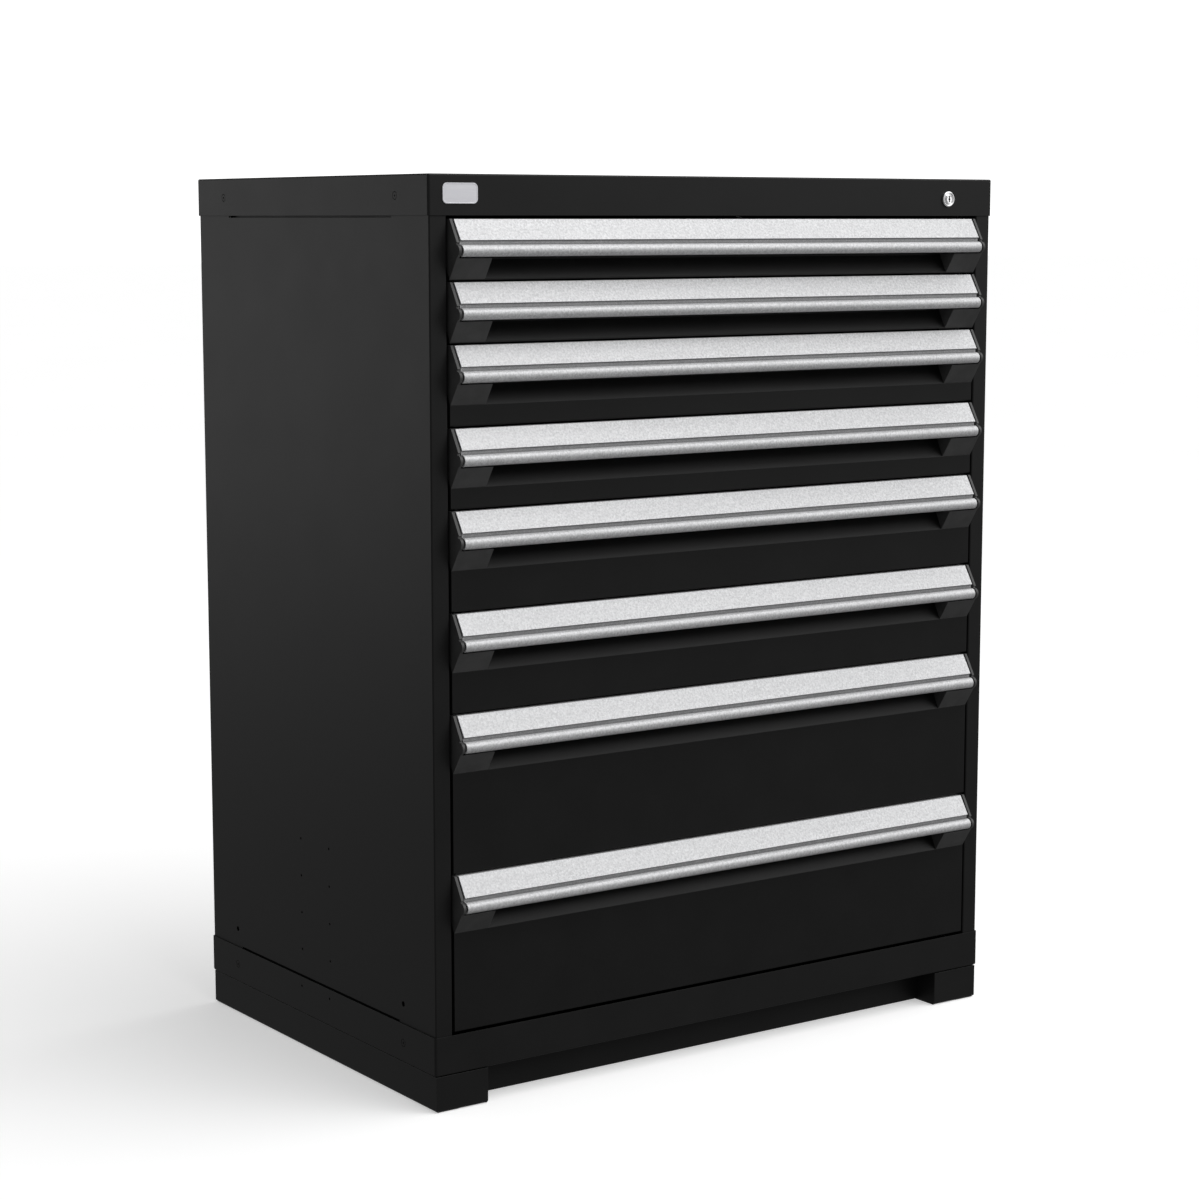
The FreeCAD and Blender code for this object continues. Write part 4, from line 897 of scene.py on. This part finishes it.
def build_badge():
    """A blank plate with a raised rim and a faintly domed field."""
    out, corner = BADGE_Y[0], 6.0
    side = [(0.4, FRONT), (0, FRONT - 0.15), (0, out + 0.35)]
    rim = [(0.12, out + 0.1), (0.4, out), (1.1, out), (1.35, out + 0.1), (1.5, out + 0.3)]
    field = [(2.2, out + 0.3), (5.0, out + 0.18), (9.0, out + 0.12)]
    rings = []
    for inset, y in side + rim + field:
        outline = rounded_rectangle(BADGE_X, BADGE_Z, inset, corner, 10)
        rings.append([lift(point, "y", y) for point in outline])
    mesh = built("blank_plate", lambda bm: skin_rings(bm, rings))
    piece("blank_plate", mesh, BADGE, "cabinet", ["badge"], smooth=50)


# ---------------------------------------------------------------- CAD pieces that stay

def dress(node, material, bevel=0.0):
    """Gives a CAD node its finish, and softens its edges."""
    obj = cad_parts[node]
    if not obj.data.materials:
        obj.data.materials.append(material)
    for slot in obj.material_slots:
        slot.material = material
    if bevel:
        weld = obj.modifiers.new("weld", "WELD")
        weld.merge_threshold = 0.02 * MM
        rounding = obj.modifiers.new("rounding", "BEVEL")
        rounding.width = bevel * MM
        rounding.segments = 2
        rounding.limit_method = "ANGLE"
        rounding.angle_limit = math.radians(40)


def dress_cad_nodes():
    for side, _ in SIDES:
        dress(f"base_rail_{side}", COAT, 0.4)
        dress(f"front_upright_{side}", ZINC)
        dress(f"rear_upright_{side}", ZINC)
        dress(f"drawer_rails_{side}", ZINC)
    dress("toe_panel_front", COAT, 0.3)
    dress("toe_panel_rear", COAT, 0.3)
    dress("lock_bar", ZINC, 0.3)
    for number in range(1, COUNT + 1):
        dress(f"drawer_{number}_runners", ZINC)
        dress(f"slide_{number}_members", ZINC)


# ---------------------------------------------------------------- studio

WORLD_LIGHT, WORLD_SEEN = 0.2, 1.25  # the surround's strength as a light, and as the camera sees it
LENS = 81.48
CAMERA_SPOT = (COVER_X[0] - 1715.3, FRONT - 2813.6, 1113.7)
CAMERA_TILT, CAMERA_TURN = 82.022, -34.952


def build_floor():
    """A plain pale floor. It glows a little, and neither lights the cabinet nor shows in its gloss."""
    bm = bmesh.new()
    bmesh.ops.create_grid(bm, x_segments=8, y_segments=8, size=60)
    floor = bpy.data.objects.new("studio_floor", mesh_of("studio_floor", bm))
    floor.data.materials.append(studio_floor())
    floor.location.z = cad_box[0][2] - 0.2 * MM
    floor.visible_diffuse = floor.visible_glossy = False
    bpy.context.scene.collection.objects.link(floor)


def aimed(obj, spot, target):
    obj.location = spot
    obj.rotation_euler = (Vector(target) - Vector(spot)).to_track_quat("-Z", "Y").to_euler()
    bpy.context.scene.collection.objects.link(obj)


def softbox(name, spot, target, wide, tall, power):
    """A rectangular card of light, in metres and watts."""
    light = bpy.data.lights.new(name, "AREA")
    light.shape = "RECTANGLE"
    light.size, light.size_y = wide, tall
    light.energy = power
    obj = bpy.data.objects.new(name, light)
    obj.visible_camera = False
    aimed(obj, spot, target)


def build_lights():
    """One broad key light from the right, five cards, and an even white surround."""
    sun = bpy.data.lights.new("key", "SUN")
    sun.energy, sun.angle = 2.0, math.radians(70)
    aimed(bpy.data.objects.new("key", sun), (3.2, -2.6, 5.2), (0, 0, 0))
    softbox("left_rear_card", (-3.1, 4.2, 1.05), (-0.4, 0.1, 0.7), 2.8, 2.0, 19)
    softbox("top_card", (0.2, -1.7, 2.9), (0, 0, 0.8), 2.4, 1.2, 9)
    softbox("left_front_card", (-3.6, -3.2, 2.3), (-0.3, -0.2, 0.7), 1.8, 1.8, 6)
    softbox("right_rear_card", (2.6, 4.0, 1.9), (0, 0.3, 0.6), 2.6, 2.0, 12)
    softbox("right_front_card", (2.7, -3.4, 1.7), (0, -0.3, 0.8), 2.0, 1.8, 12)

    world = bpy.context.scene.world or bpy.data.worlds.new("studio")
    bpy.context.scene.world = world
    world.use_nodes = True
    nodes, links = world.node_tree.nodes, world.node_tree.links
    nodes.clear()
    output = nodes.new("ShaderNodeOutputWorld")
    mix = nodes.new("ShaderNodeMixShader")
    path = nodes.new("ShaderNodeLightPath")
    for number, strength in ((1, WORLD_LIGHT), (2, WORLD_SEEN)):
        background = nodes.new("ShaderNodeBackground")
        background.inputs["Color"].default_value = (1, 1, 1, 1)
        background.inputs["Strength"].default_value = strength
        links.new(background.outputs[0], mix.inputs[number])
    links.new(path.outputs["Is Camera Ray"], mix.inputs[0])
    links.new(mix.outputs[0], output.inputs["Surface"])


def build_camera():
    camera = bpy.data.cameras.new("camera")
    camera.lens, camera.sensor_width = LENS, 36
    camera.clip_end = 300
    obj = bpy.data.objects.new("camera", camera)
    obj.location = Vector(CAMERA_SPOT) * MM
    obj.rotation_euler = (math.radians(CAMERA_TILT), 0, math.radians(CAMERA_TURN))
    bpy.context.scene.collection.objects.link(obj)
    bpy.context.scene.camera = obj
    bpy.context.scene.view_settings.view_transform = "Standard"


build_covers()
build_side_panels()
build_back_panel()
build_screws()
build_drawers()
build_lock_cylinder()
build_lock_plug()
build_badge()
dress_cad_nodes()
build_floor()
build_lights()
build_camera()
